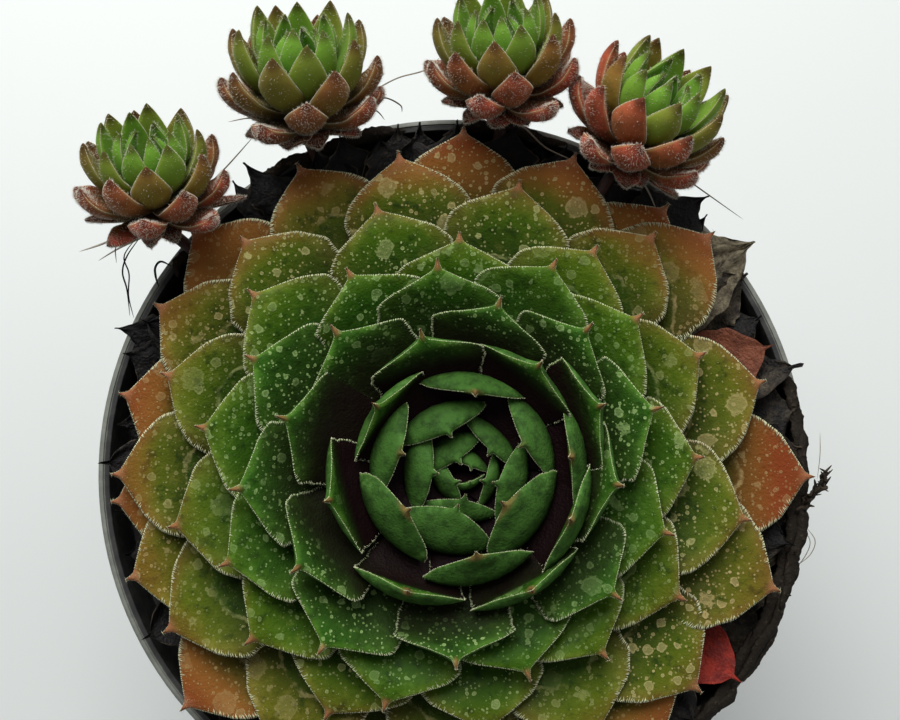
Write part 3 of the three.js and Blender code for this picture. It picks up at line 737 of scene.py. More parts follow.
def hen_leaf_finish(colours):
    finish = Finish("hen_leaf")
    along, across, face = finish.attribute("leaf")
    age, chance, rust = finish.attribute("growth")
    edge = abs(across)
    upper = face.rise(-0.15, 0.15)
    cloudy = finish.grain(6, detail=5, roughness=0.65)
    blotch = finish.grain(2.2, detail=5, roughness=0.65)
    warp = finish.grain(0.9)
    fine = finish.grain(0.4)

    # the line up to which a neighbour covered the leaf: greener and cleaner inside it
    shore = 0.70 - 0.20 * edge * edge + 0.12 * (chance - 0.5) + 0.06 * (blotch - 0.5)
    covered = (shore - along).rise(-0.012, 0.012)
    old = age.rise(0.40, 0.70)

    # the green of each age, with its tints of yellow towards the tip
    ripe = age - 0.14 + 0.16 * (cloudy - 0.5) + 0.12 * (chance - 0.5)
    ripe = ripe + 0.14 * along.rise(0.55, 1.0) + 0.08 * edge.rise(0.5, 1.0)
    green = finish.ramp(
        ripe - 0.12 * old * covered,
        (0.0, 46, 78, 30), (0.10, 40, 78, 20), (0.32, 46, 88, 18), (0.50, 66, 97, 14),
        (0.66, 86, 102, 18), (0.82, 100, 98, 24), (1.0, 114, 94, 34),
    )
    # painted highlight: bright is a paler green laid on the margins towards the tip (lit), where
    # light falls
    bright = finish.mix(age.rise(0.3, 0.8), srgb(96, 144, 50), srgb(150, 144, 60))
    lit = edge.rise(0.35, 1.0) * along.rise(0.35, 0.8) * cloudy.rise(0.65, 0.35)
    # the under face: painted shade darkens it to near black towards the root and painted highlight
    # lightens its margins; its blotches and the brown of old leaves are its own colour
    under = finish.coats(
        finish.mix(along.rise(0.40, 0.90), srgb(8, 12, 6), srgb(64, 102, 42)),
        (blotch.rise(0.42, 0.66) * 0.6, srgb(28, 42, 22)),
        (edge.rise(0.4, 1.0) * blotch.rise(0.5, 0.3) * 0.75, srgb(96, 138, 68)),
        (age.rise(0.3, 0.9), srgb(104, 88, 38)),
    )

    # rust spreads from the tip and the margins
    far = 1.5 * along.rise(0.64, 1.0) + 0.3 * edge.rise(0.6, 1.0) - 0.88
    spread = (rust + far + 0.5 * (cloudy - 0.5)).rise(0.05, 0.75)
    redder = (along + 0.35 * rust.rise(1.0, 1.6)).rise(0.83, 0.99)
    rusty = finish.mix(redder, colours.rust_orange, colours.rust_red)
    flush = along.rise(0.80, 0.98) + edge.rise(0.60, 1.0) * along.rise(0.4, 0.75) * 0.8
    flush = age.rise(0.32, 0.75) * flush.at_most(1.0) * cloudy.rise(0.25, 0.6)

    # painted shade: darker behind the tips where neighbours overlap, and near black at the inner
    # leaves' root; their wine tint is partly their own colour, partly painted shade
    overlap_shade = along.rise(0.88, 0.66) * (0.3 + 0.35 * old) * age.rise(0.1, 0.3) * upper
    wine = age.rise(0.52, 0.20) * along.rise(0.97, 0.80) * upper * cloudy.rise(0.25, 0.65)
    heart_shade = age.rise(0.50, 0.14) * along.rise(0.97, 0.60) * upper

    # water marks, where a leaf is open to the sky
    wet = age.rise(0.06, 0.26) * upper * edge.rise(0.98, 0.92) * (1 - 0.8 * old * covered)
    wet = wet * (1 - heart_shade).rise(0.2, 0.8)
    crowd = (cloudy + 0.5 * (chance - 0.5)).rise(0.62, 0.38)
    marks = water_marks(finish, warp, fine) * (0.45 + 0.55 * crowd) * wet
    shoreline = abs(shore - along).rise(0.012, 0.004) * old * cloudy.rise(0.4, 0.6) * upper
    marks = marks.at_least(shoreline * 0.5)
    pale = finish.mix(age.rise(0.4, 0.9), srgb(150, 180, 110), srgb(186, 164, 112))

    # pale rim, partly the margin's own colour and partly painted light caught by its cilia, and the
    # brown point
    rim = edge.rise(0.970, 0.995) * along.rise(0.35, 0.6)
    rim_tint = finish.mix(age.rise(0.3, 0.8), srgb(140, 172, 92), srgb(184, 134, 104))
    point = along.rise(0.925, 0.965) * age.rise(0.01, 0.06)

    skin = finish.coats(
        green,
        (blotch.rise(0.50, 0.68) * 0.75, colours.deep_green),
        # pale patches, partly the leaves' own mottling and partly painted gloss; then the painted
        # highlight on the margins
        (blotch.rise(0.45, 0.28) * 0.4, bright),
        (lit * 0.6, bright),
        # painted shade: darker towards the root, where the leaves above shade it
        (along.rise(0.70, 0.32) * 0.75, srgb(18, 38, 8)),
        (1 - upper, under),
        (spread * 0.9 * rust.rise(0.05, 0.65), rusty),
        (flush * 0.5, srgb(118, 78, 42)),
        # painted shade: behind the old leaves' tips, where neighbours overlap, and at the inner
        # leaves' root; the wine tint is partly their own colour, partly painted shade
        (along.rise(0.94, 0.80) * old * 0.12, srgb(40, 36, 8)),
        (overlap_shade, srgb(22, 32, 8)),
        (wine * 0.4, srgb(40, 24, 27)),
        (heart_shade * 0.97, colours.heart_shade),
        ((marks * (0.75 + 0.5 * fine)).at_most(0.95), pale),
        (rim * (0.30 + 0.4 * blotch), rim_tint),
        (point * (0.45 + 0.4 * age.rise(0.1, 0.5)), colours.leaf_point),
        (along.rise(0.972, 0.992) * 0.8, srgb(78, 34, 24)),
    )
    return finish.set(
        Base_Color=skin,
        Roughness=0.48 + 0.18 * marks + 0.16 * (fine - 0.5),
        Normal=finish.bump(fine * 0.3 + blotch * 0.5 + marks * 0.2, 0.7, 0.8),
        Specular_IOR_Level=0.05,
        Coat_Weight=0.05 * age.rise(0.3, 0.6) * (1 - marks),
        Coat_Roughness=0.25,
    )


def hair_finish(name, colour):
    finish = Finish(name)
    tone = finish.grain(1.4)
    skin = finish.mix(tone.rise(0.3, 0.7), colour, tuple(0.75 * c for c in colour))
    return finish.set(Base_Color=skin, Roughness=0.6)


def heart_finish():
    finish = Finish("hen_heart")
    tint = finish.mix(finish.grain(1.5), srgb(30, 40, 20), srgb(20, 14, 12))
    return finish.set(Base_Color=tint, Roughness=0.7)


def build_hen(context):
    sizes = context.scene.hen_sizes
    leaves = [hen_leaf(n) for n in range(-HEN_BUD_LEAVES, HEN_LEAVES)]
    growth = [
        (hen_age(leaf.number), 0.5 + 0.5 * jitter(leaf.number, 10), RUSTED.get(leaf.number, 0.0))
        for leaf in leaves
    ]
    skin = Skin(rings=34, sides=20, crowding=1.55)
    mesh = leaves_mesh("hen_leaves", skin, leaves, at_hen, growth)
    add_piece(mesh, hen_leaf_finish(context.scene.plant_colours), "hen_leaf", "hen_rosette")

    hairs = Hairs(at_hen, HEN_SEED)
    for leaf in leaves:
        age = hen_age(leaf.number)
        hairs.fringe(leaf, 0.35, 0.95, sizes.cilia_spacing / MM,
                     sizes.cilia_length / MM * (0.55 + 0.7 * age), 0.065 + 0.05 * age)
        hairs.fringe(leaf, 0.94, 0.995, 0.25, 0.45 + 0.5 * age, 0.055)
        if age > 0.3:
            hairs.down(leaf, int(150 * age), 0.35, 0.03, start=0.45, sides=(1,))
    add_piece(hairs.mesh("hen_cilia"), hair_finish("hen_cilia", srgb(228, 232, 190)), "hen_leaf")

    # the short thick shoot inside the leaves
    profile = ((0, -3.3), (4, -3.3), (7.5, -3.1), (9.2, -1.6), (8.8, 0.6), (6, 4), (2.5, 7.4),
               (0, 8.6))
    add_piece(turned_mesh("hen_heart", profile, 32), heart_finish(), "hen_leaf")


# ---- the young rosettes ----

CHICK_TIP_RADIUS = ((0, 0.8), (4, 3.6), (10, 7), (18, 10), (26, 11.8), (33, 12.2))
CHICK_TIP_HEIGHT = ((0, 16.4), (4, 18), (10, 18.4), (18, 16), (26, 10.8), (33, 4.8))
CHICK_WIDTH = ((0, 2.6), (4, 4.4), (10, 5.8), (18, 6.4), (33, 5.8))


def chick_age(n):
    return n / (CHICK_LEAVES - 1)


def chick_outline(leaf, s):
    """Oblong, drawn out to a sharp point."""
    neck = 0.7 + 0.3 * np.sin(clamp(s / 0.5) * math.pi / 2)
    x = clamp((s - 0.5) / 0.5)
    return neck * np.maximum(1 - x**2, 0) ** 0.9


def chick_girth(leaf, s):
    return np.interp(s, (0, 0.5, 0.8, 0.93, 0.98, 1), (1, 1, 0.85, 0.5, 0.25, 0.05))


def skirt_leaf(n, azimuth, reach, height, width):
    """One of the wilted leaves that hang under a young rosette."""
    return Leaf(
        n, azimuth, (1.6, 1.2), (0.6 * reach, height + 0.5), (reach, height), width,
        thickness=1.2, cup=0.5, outline=chick_outline, girth=chick_girth,
        bend=0.12 * jitter(n, 3), twist=0.4 * jitter(n, 4), wave=0.16, crumple=0.06,
    )


def chick_leaf(n, phase):
    """A live leaf of a young rosette, 0 in its middle."""
    age = chick_age(n)
    tip_radius = along_table(CHICK_TIP_RADIUS, n) * (1 + 0.03 * jitter(n, phase))
    tip_height = along_table(CHICK_TIP_HEIGHT, n) + 0.4 * jitter(n, phase + 1)
    azimuth = phase + SPIRAL_ANGLE * n + 4 * jitter(n, phase + 2)
    root = (0.5 + 1.3 * age, 9.5 - 7.6 * age)
    knee = (tip_radius * 0.66 + 4.4, root[1] + 0.22 * (tip_height - root[1]))
    return Leaf(
        n, azimuth, root, knee, (tip_radius, tip_height), along_table(CHICK_WIDTH, n),
        thickness=1.5 + 0.9 * min(1, age * 2), cup=1.0 * min(1, age * 3),
        outline=chick_outline, girth=chick_girth,
        bend=0.05 * jitter(n, phase + 3), twist=0.12 * jitter(n, phase + 4), wave=0.1,
    )


def stand(spec):
    """Moves corners from a young rosette's own frame to its place on the rim."""
    turn = Vector((0, 0, 1)).rotation_difference(Vector(spec["toward"])).to_matrix()
    turn = np.array(turn) * spec["size"]
    at = np.array(spec["at"]) + TO_RIM
    return lambda corners: corners @ turn.T + at


def chick_growth(leaf, spec, place):
    """A young leaf's age, its chance, and how red it is: most on the rosette's red side."""
    age = chick_age(leaf.number)
    tip = unit(place(leaf.points[2]) - place(np.array([0.0, 0.0, 8.0])))
    toward = 0.5 + 0.5 * float(tip @ unit([*spec["red_side"], 0.0]))
    red = spec["red"] * toward * smooth(age, 0.1, 0.6) + 0.06 * jitter(leaf.number, 12)
    return age, 0.5 + 0.5 * jitter(leaf.number, 10), float(red)


def chick_leaf_finish(colours):
    finish = Finish("chick_leaf")
    along, across, face = finish.attribute("leaf")
    age, chance, red = finish.attribute("growth")
    cloudy = finish.grain(2.5)
    fine = finish.grain(0.4)
    ripe = age + 0.12 * (cloudy - 0.5) + 0.10 * (chance - 0.5) + 0.10 * along.rise(0.5, 1)
    flush = (red + 0.4 * (age - 0.5) + 0.25 * (cloudy - 0.5) + 0.2 * (along - 0.5)).rise(0.1, 0.7)
    rosy = finish.mix(cloudy.rise(0.35, 0.65), colours.chick_red, colours.chick_brown)
    stale = age.rise(0.98, 1.12) * cloudy.rise(0.2, 0.6) * red.rise(0.75, 0.45)
    # painted shade: dark green on the inner faces and towards the root, inside the young rosette
    inner = (face.rise(-0.1, 0.2) * along.rise(0.85, 0.3)).at_least(along.rise(0.6, 0.3))
    skin = finish.coats(
        finish.ramp(
            ripe, (0.0, 118, 170, 62), (0.30, 116, 158, 52), (0.50, 122, 134, 48),
            (0.72, 124, 92, 46), (1.0, 108, 62, 38),
        ),
        (flush * 0.9, rosy),
        (stale * 0.6, srgb(56, 38, 26)),
        (inner * 0.65, srgb(34, 50, 20)),
        (abs(across).rise(0.93, 0.99) * 0.35, srgb(170, 164, 110)),
        (along.rise(0.86, 0.97) * 0.75, colours.chick_point),
    )
    return finish.set(
        Base_Color=skin,
        Roughness=0.55 + 0.2 * (fine - 0.5),
        Normal=finish.bump(fine * 0.5 + cloudy * 0.5, 0.35, 0.5),
        Specular_IOR_Level=0.12,
        Subsurface_Weight=0.1,
        Subsurface_Scale=0.003,
        Subsurface_Radius=(0.8, 1.0, 0.3),
        Sheen_Weight=0.12,
        Sheen_Roughness=0.4,
        Sheen_Tint=srgb(230, 215, 180),
    )


def build_chicks(context):
    sizes = context.scene.chick_sizes
    material = chick_leaf_finish(context.scene.plant_colours)
    hair_material = hair_finish("chick_down", srgb(246, 238, 220))
    skin = Skin(rings=24, sides=16, crowding=1.35)
    for index, spec in enumerate(CHICKS):
        name, place = spec["name"], stand(spec)
        leaves = [chick_leaf(n, spec["phase"]) for n in range(CHICK_LEAVES)]
        leaves += [skirt_leaf(CHICK_LEAVES + k, *row) for k, row in enumerate(SKIRTS[name])]
        growth = [chick_growth(leaf, spec, place) for leaf in leaves]
        mesh = leaves_mesh(f"{name}_leaves", skin, leaves, place, growth, edge=1.1)
        add_piece(mesh, material, "chick_leaf", name)

        hairs = Hairs(place, CHICK_SEED + index)
        for leaf in leaves:
            age = chick_age(leaf.number)
            old = smooth(age, 0.45, 0.9)
            hairs.fringe(leaf, 0.15, 0.96, sizes.cilia_spacing / MM,
                         sizes.cilia_length / MM * (0.65 + 0.35 * age), 0.065)
            hairs.down(leaf, 60 + int(560 * old), 0.34, 0.03, sides=(-1, -1, 1))
            hairs.down(leaf, 30 + int(130 * old), 0.5, 0.04, start=0.7, end=0.99)
        add_piece(hairs.mesh(f"{name}_hairs"), hair_material, "chick_leaf")


# ---- strands: runners and roots ----


def cubic(knots, values, x):
    """A smooth curve through values at knots (Catmull-Rom)."""
    slopes = np.gradient(values, knots)
    x = clamp(x)
    i = np.clip(np.searchsorted(knots, x, side="right") - 1, 0, len(knots) - 2)
    h = knots[i + 1] - knots[i]
    t = (x - knots[i]) / h
    return (
        (2 * t**3 - 3 * t**2 + 1) * values[i] + (t**3 - 2 * t**2 + t) * h * slopes[i]
        + (3 * t**2 - 2 * t**3) * values[i + 1] + (t**3 - t**2) * h * slopes[i + 1]
    )


def along_path(path, places):
    """Points of a smooth curve through the corners of path, at places from 0 to 1."""
    knots = np.linspace(0, 1, len(path))
    return np.stack([cubic(knots, axis, places) for axis in np.array(path, float).T], axis=-1)


def strand(skin, path, radius, taper=0.06, thin=1.0, torn=0.0):
    """Corners of a strand through the corners of path, drawn in at both ends."""
    s = skin.along
    way = unit(along_path(path, s + 0.01) - along_path(path, s - 0.01))
    first = unit(np.cross(way, np.array([0.2, -0.3, 0.93])))
    second = np.cross(way, first)
    size = radius * clamp(np.minimum(s, 1 - s) / taper) ** 0.5 * skin.ring
    ragged = crease(13 * s + 40 * radius) * crease(29 * s) + 0.4 * crease(97 * s + 90 * radius)
    ragged = 1 + torn * ragged
    return along_path(path, s) + size[:, None] * (
        (skin.across * ragged)[:, None] * first + (skin.face * thin)[:, None] * second
    )


def runner_path(spec):
    """From the young rosette's foot over the rim and under the live leaves to the old stem."""
    at = np.array(spec["at"])
    inward = np.array([HEN_AT[0] - at[0], HEN_AT[1] - at[1], 0.0])
    reach = float(np.linalg.norm(inward))
    inward = inward / reach
    past_rim = math.hypot(at[0], at[1]) - RIM_RADIUS
    stations = ((reach - past_rim - 0.4, 1.75), (reach - past_rim - 6, 1.3), (45, 0.1),
                (32, -1.9), (20, -3.6), (7.4, -5.2))
    middle = np.array([HEN_AT[0], HEN_AT[1], 0.0])
    path = [at + 3 * unit(spec["toward"]), at]
    path += [middle - inward * d + np.array([0, 0, h]) for d, h in stations]
    return np.array(path) + TO_RIM


def fibre(k):
    """One of the short fibres that the frayed root is made of: radius, tone and corners."""
    start = 0.78 * (0.5 + 0.5 * jitter(k, 21))
    path = along_path(FRAY, start + np.array([0, 0.08, 0.16, 0.24]))
    stray = [[jitter(k, 22 + 3 * row + axis) for axis in range(3)] for row in range(4)]
    path = path + np.array(stray) * np.array([[0.5], [0.6], [0.8], [1.3]])
    return 0.22 + 0.12 * jitter(k, 34), 0.9 + 0.1 * jitter(k, 35), path


def rim_strip(k, start, end, radius, height):
    """The corners that a strip of dead skin passes along the rim."""
    corners = []
    for step in range(6):
        turn = math.radians(start + (end - start) * step / 5)
        out = radius - 0.5 + 0.6 * jitter(k, 41 + step) - (1.6 if step == 0 else 0)
        rise = height + 0.4 * jitter(k, 51 + step)
        corners.append((out * math.cos(turn), out * math.sin(turn), rise))
    return corners


def runner_finish():
    finish = Finish("runner")
    fine = finish.grain(0.6)
    patches = finish.grain(3).rise(0.35, 0.7)
    tint = finish.mix(patches, srgb(66, 38, 28), srgb(30, 20, 16))
    return finish.set(
        Base_Color=finish.mix(fine.rise(0.55, 0.75) * 0.3, tint, srgb(110, 88, 66)),
        Roughness=0.65,
        Normal=finish.bump(fine, 0.3, 0.8),
    )


def root_finish():
    finish = Finish("root")
    tone = finish.attribute("growth")[0]
    tint = finish.ramp(tone, (0.0, 206, 200, 182), (0.5, 110, 96, 78), (1.0, 11, 9, 8))
    bark = finish.grain(0.8, detail=4)
    return finish.set(
        Base_Color=finish.mix(bark.rise(0.58, 0.70) * tone * 0.5, tint, srgb(84, 72, 56)),
        Roughness=0.7,
        Specular_IOR_Level=0.15,
        Normal=finish.bump(bark, 0.8, 0.6),
    )


def build_runners(context):
    skin = Skin(rings=60, sides=10)
    corners = np.array([strand(skin, runner_path(spec), RUNNER_RADIUS, 0.02) for spec in CHICKS])
    add_piece(skin.mesh("runners", corners), runner_finish(), "chick_leaf")

    skin = Skin(rings=36, sides=6)
    roots = [*ROOTS, *(fibre(k) for k in range(FRAY_FIBRES))]
    corners = [strand(skin, path, radius, 0.3) for radius, _, path in roots]
    corners += [
        strand(skin, rim_strip(k, *row[:-1]), row[-1], 0.25, thin=0.35, torn=0.3)
        for k, row in enumerate(RIM_STRIPS)
    ]
    tones = [tone for _, tone, _ in roots] + [0.95] * len(RIM_STRIPS)
    mesh = skin.mesh("roots", np.array(corners) + TO_RIM, one_number(tones))
    add_piece(mesh, root_finish(), "dry_leaf")


# ---- the old stem and its dry leaves ----


def dry_outline(leaf, s):
    """Widest at two thirds, frayed, with a thin point."""
    neck = 0.5 + 0.5 * np.sin(clamp(s / 0.65) * math.pi / 2)
    x = clamp((s - 0.65) / 0.31)
    spike = 0.10 * clamp((1 - s) / 0.08)
    body = neck * np.maximum(1 - x**1.9, 0) ** 0.6
    frayed = 1 + 0.06 * np.sin(37 * s + leaf.number) + 0.05 * np.sin(71 * s + 2 * leaf.number)
    return (np.maximum(body * frayed, 0) ** 3 + spike**3) ** (1 / 3)


def dry_girth(leaf, s):
    return np.interp(s, (0, 0.35, 0.65, 0.9, 1), (1.2, 0.9, 0.7, 0.6, 0.1))


def to_nearest_runner(azimuth):
    """Degrees from an azimuth to the nearest runner's."""
    gaps = []
    for spec in CHICKS:
        turn = azimuth - math.degrees(math.atan2(spec["at"][1], spec["at"][0] - HEN_AT[0]))
        gaps.append(abs((turn + 180) % 360 - 180))
    return min(gaps)


def dry_leaf(n):
    """A dry leaf on the old stem; those under a runner stay short and low."""
    turn, reach = DRY_TIPS.get(n, (3 * jitter(n, 5), 58 + 1.2 * jitter(n, 3)))
    azimuth = HEN_PHASE + SPIRAL_ANGLE * n + turn
    wilted = WILTED.get(n, (0.0, 0.0))[1]
    if to_nearest_runner(azimuth) > 10:
        knee, tip = (38, -6.2), (reach, 4 + 0.3 * jitter(n, 7))
    else:
        knee, tip = (30, -8.4), (45, -4.6)
    return Leaf(
        n, azimuth, (4, -8.2), knee, tip, width=12.5 + 1.5 * jitter(n, 6) + 4 * wilted,
        thickness=0.7 + 0.5 * wilted, cup=1.4, outline=dry_outline, girth=dry_girth,
        bend=0.08 * jitter(n, 8), twist=0.5 * jitter(n, 9) * (1 - wilted),
        wave=1.1 - 0.8 * wilted, crumple=0.34 - 0.28 * wilted,
    )


def scrap_outline(leaf, s):
    """A torn sheet whose end sweeps in to a hook."""
    body = np.clip(s / 0.3, 0.3, 1) ** 0.5
    end = clamp((1 - s) / 0.34) ** 1.7
    torn = 1 + 0.07 * crease(23 * s + leaf.number) + 0.05 * crease(61 * s + 2.3 * leaf.number)
    return np.maximum(body * end * torn, 0.03)


def scrap(number, azimuth, inner, outer, height, width, bend, _):
    """A papery sheet of a dead leaf between the live leaves and the rim."""
    knee = (inner + 0.55 * (outer - inner), height - 0.2)
    return Leaf(
        number, azimuth, (inner - 4, height - 4.5), knee, (outer, height), width,
        thickness=0.3, cup=1.4 * jitter(number, 2), outline=scrap_outline, girth=dry_girth,
        bend=bend, twist=0.5 * jitter(number, 9), wave=0.5, crumple=0.2,
        recurve=-0.7 - 0.4 * jitter(number, 6),
    )


def dry_growth(leaf):
    """A dry leaf's kind, how grey it is, and how far it has only wilted."""
    kind, fresh = WILTED.get(leaf.number, (0.0, 0.0))
    grey = DRY_GREY.get(leaf.number, 0.3)
    if leaf.number >= FIRST_SCRAP:
        grey = SCRAPS[leaf.number - FIRST_SCRAP][-1]
    return kind, grey, fresh


def dry_finish(colours):
    finish = Finish("dry_leaf")
    along, across, _ = finish.attribute("leaf")
    kind, grey, fresh = finish.attribute("growth")
    edge = abs(across)
    streak = finish.node("ShaderNodeMapping", {}, {"Vector": finish.place(), "Scale": (1, 1, 3)})
    cloudy = finish.grain(3.5, detail=6, roughness=0.7, vector=streak.outputs[0])
    fine = finish.grain(0.5, detail=4)
    deep = finish.mix(kind, srgb(78, 40, 28), srgb(56, 10, 16))
    wilted = finish.coats(
        finish.ramp(
            kind, (0.0, 74, 42, 26), (0.25, 138, 80, 56), (0.5, 150, 104, 58), (1.0, 152, 44, 30),
        ),
        (cloudy.rise(0.42, 0.62) * 0.55, deep),
        (along.rise(0.85, 0.5) * 0.6, deep),
        (fine.rise(0.6, 0.75) * edge.rise(0.3, 1.0) * 0.4, srgb(206, 150, 120)),
    )
    # painted highlight: pale grey along the dry leaves' margins
    rim = edge.rise(0.9, 1.0) * along.rise(0.3, 0.6) * cloudy.rise(0.4, 0.6)
    skin = finish.coats(
        finish.ramp(
            cloudy + 0.55 * (grey - 0.35),
            (0.35, 9, 8, 8), (0.55, 24, 20, 18), (0.70, 66, 58, 46), (0.88, 134, 124, 100),
        ),
        (fine.rise(0.62, 0.8) * 0.35, colours.dry_pale),
        (rim * 0.5, srgb(120, 110, 92)),
        (fresh.at_most(1.0), wilted),
    )
    return finish.set(
        Base_Color=skin,
        Roughness=0.5 + 0.3 * (fine - 0.5),
        Normal=finish.bump(cloudy * 0.6 + fine * 0.4, 0.9, 0.9),
        Specular_IOR_Level=0.25,
    )


def bark_finish():
    finish = Finish("old_bark")
    rough = finish.grain(2.0, detail=5)
    return finish.set(
        Base_Color=finish.mix(rough, srgb(40, 30, 24), srgb(96, 74, 54)),
        Roughness=0.85,
        Normal=finish.bump(rough, 1.0),
    )


def build_old_stem(context):
    leaves = [dry_leaf(n) for n in range(HEN_LEAVES, HEN_LEAVES + DRY_LEAVES)]
    leaves += [scrap(FIRST_SCRAP + k, *row) for k, row in enumerate(SCRAPS)]
    growth = [dry_growth(leaf) for leaf in leaves]
    skin = Skin(rings=40, sides=24, crowding=1.25)
    mesh = leaves_mesh("dry_leaves", skin, leaves, at_hen, growth)
    add_piece(mesh, dry_finish(context.scene.plant_colours), "dry_leaf", "old_stem")

    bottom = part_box("old_stem")[0].z / MM - RIM
    profile = [(0, bottom), (2.5, bottom + 0.2), (3.6, bottom + 0.8), (6.2, bottom + 4)]
    rings = np.linspace(bottom + 6, STEM_TOP, 26)
    profile += [(6.7 + 0.22 * math.sin(2.1 * k), z) for k, z in enumerate(rings)]
    profile += [(0, STEM_TOP)]
    add_piece(turned_mesh("stem", profile, 40), bark_finish(), "dry_leaf")


# ---- pot ----


def arc(middle, radius, start, end, steps):
    """Corners of a round stretch of a profile, from one angle to another in degrees."""
    turns = [math.radians(start + (end - start) * k / steps) for k in range(steps + 1)]
    return [(middle[0] + radius * math.cos(t), middle[1] + radius * math.sin(t)) for t in turns]


def by_rim(inset, drop):
    """A profile's corner by how far it lies inside and under the rim's outer edge."""
    return RIM_RADIUS - inset, RIM - drop


def pot_profile(wall):
    """The shell from the foot's groove, up the outside, over the lip and down the inside."""
    collar = RIM - COLLAR_HEIGHT
    shoulder = RIM_RADIUS - 3.2
    outside = [(GROOVE_OUTER, GROOVE_ROOF), (35.2, 0.6), (36, 0.1), (36.6, 0), (40.6, 0)]
    outside += arc((41.0, 0.9), 0.9, -80, -4, 5)
    outside += [(FOOT_RADIUS + TAPER * z, z) for z in (6, 14, 24, 36, 48, 60, 72, collar - 3)]
    outside += [(shoulder, collar - 0.9)]
    outside += arc((shoulder + 0.6, collar - 0.2), 0.62, 180, 100, 4)
    outside += [(RIM_RADIUS - 1.6, collar + 0.3)]
    outside += arc((RIM_RADIUS - 1.7, collar + 1.0), 0.6, -80, 0, 4)
    outside += [by_rim(1.0, 6), by_rim(0.75, 2.6)]
    lip = arc(by_rim(0.55, 0.62), 0.55, -50, 90, 8)
    lip += [by_rim(0.85, 0.07), by_rim(0.95, 0.34), by_rim(1.05, 0.38), by_rim(1.75, 0.3)]
    lip += arc(by_rim(1.75, 0.5), 0.2, 90, 180, 3)
    inside = [by_rim(2.2, 4), (RIM_RADIUS - 2.6, collar + 0.8)]
    inside += [(shoulder - wall + 0.2, collar - 0.6), (shoulder - wall - 0.3, collar - 3)]
    inside += [(FOOT_RADIUS - wall + 0.175 * z, z) for z in (70, 56, 42, 28, 14, 6)]
    inside += [(FOOT_RADIUS - wall + 0.1, 4.4), (FOOT_RADIUS - wall - 0.8, POT_FLOOR)]
    return outside + lip + inside


def ring_edges(bm, radius, height):
    """The edges of an open round end at a radius and height."""

    def on_ring(v):
        return abs(v.co.xy.length / MM - radius) < 0.01 and abs(v.co.z / MM - height) < 0.01

    return [e for e in bm.edges if len(e.link_faces) < 2 and all(on_ring(v) for v in e.verts)]


def circle_edges(bm, radius, at):
    """The edges of a new circle."""
    made = bmesh.ops.create_circle(
        bm, cap_ends=False, radius=radius * MM, segments=28,
        matrix=Matrix.Translation(Vector(at) * MM),
    )
    return list({e for v in made["verts"] for e in v.link_edges})


def pot_finish(colours):
    finish = Finish("pot_plastic")
    scuffs = finish.grain(9, detail=6, roughness=0.7)
    scratches = finish.grain(1.2, detail=4, distortion=1.2)
    dust = finish.grain(2.5, detail=5, roughness=0.7)
    across, deep, level = finish.parts(finish.place())
    away = across * across + deep * deep

    def above(*drops):
        """Rises between two heights under the rim."""
        return level.rise(*((RIM - drop) * MM for drop in drops))

    def beyond(*insets):
        """Rises between two radii inside the rim's edge."""
        return away.rise(*(((RIM_RADIUS - inset) * MM) ** 2 for inset in insets))

    # the lip's top is paler: partly dust, partly painted highlight
    lip = above(1.2, 0.5) * beyond(1.2, 0.9)
    tint = finish.coats(
        colours.pot,
        (scuffs.rise(0.35, 0.75) * 0.4, srgb(64, 66, 64)),
        (dust.rise(0.38, 0.75) * (0.06 + 0.19 * above(16, 3)), srgb(168, 170, 156)),
        (lip * (0.55 + 0.5 * (dust - 0.5)), srgb(150, 153, 142)),
        # painted shade: near black inside the lip and down the inner wall
        (beyond(1.0, 1.3) * above(9, 8) * 0.7, srgb(14, 14, 12)),
    )
    return finish.set(
        Base_Color=tint,
        Roughness=0.42 + 0.25 * scuffs + 0.1 * scratches,
        Normal=finish.bump(scratches * 0.5 + scuffs * 0.5, 0.12, 0.6),
        Specular_IOR_Level=0.5,
    )


def build_pot(context):
    steps = 144
    bm = bmesh.new()
    profile = pot_profile(context.scene.pot_sizes.wall / MM)
    lathe(bm, profile, steps)
    lathe(bm, ((0, 0), (13.6, 0), (14.4, 0.2), (15.4, 1.4), (GROOVE_INNER, GROOVE_ROOF)), steps)
    bmesh.ops.remove_doubles(bm, verts=bm.verts[:], dist=1e-6)

    # the groove's roof and the floor over it are filled round the drain holes
    under = ring_edges(bm, GROOVE_OUTER, GROOVE_ROOF) + ring_edges(bm, GROOVE_INNER, GROOVE_ROOF)
    over = ring_edges(bm, profile[-1][0], POT_FLOOR)
    walls = []
    for k in range(DRAIN_HOLES):
        turn = math.tau * (k + 0.5) / DRAIN_HOLES
        x, y = DRAIN_CIRCLE * math.cos(turn), DRAIN_CIRCLE * math.sin(turn)
        low = circle_edges(bm, DRAIN_RADIUS, (x, y, GROOVE_ROOF))
        high = circle_edges(bm, DRAIN_RADIUS, (x, y, POT_FLOOR))
        under += low
        over += high
        walls.append(low + high)
    for edges in (under, over):
        bmesh.ops.triangle_fill(bm, use_beauty=True, use_dissolve=False, edges=edges)
    for edges in walls:
        bmesh.ops.bridge_loops(bm, edges=edges)
    mesh = finished_mesh(bm, "pot_shell")
    mesh.set_sharp_from_angle(angle=math.radians(40))
    add_piece(mesh, pot_finish(context.scene.plant_colours), "pot_plastic", "pot")


# ---- soil ----


def soil_radius(z):
    """The soil's radius at a height: it tapers as the pot does."""
    return SOIL_HIGH.x / MM - TAPER * (SOIL_TOP - z)


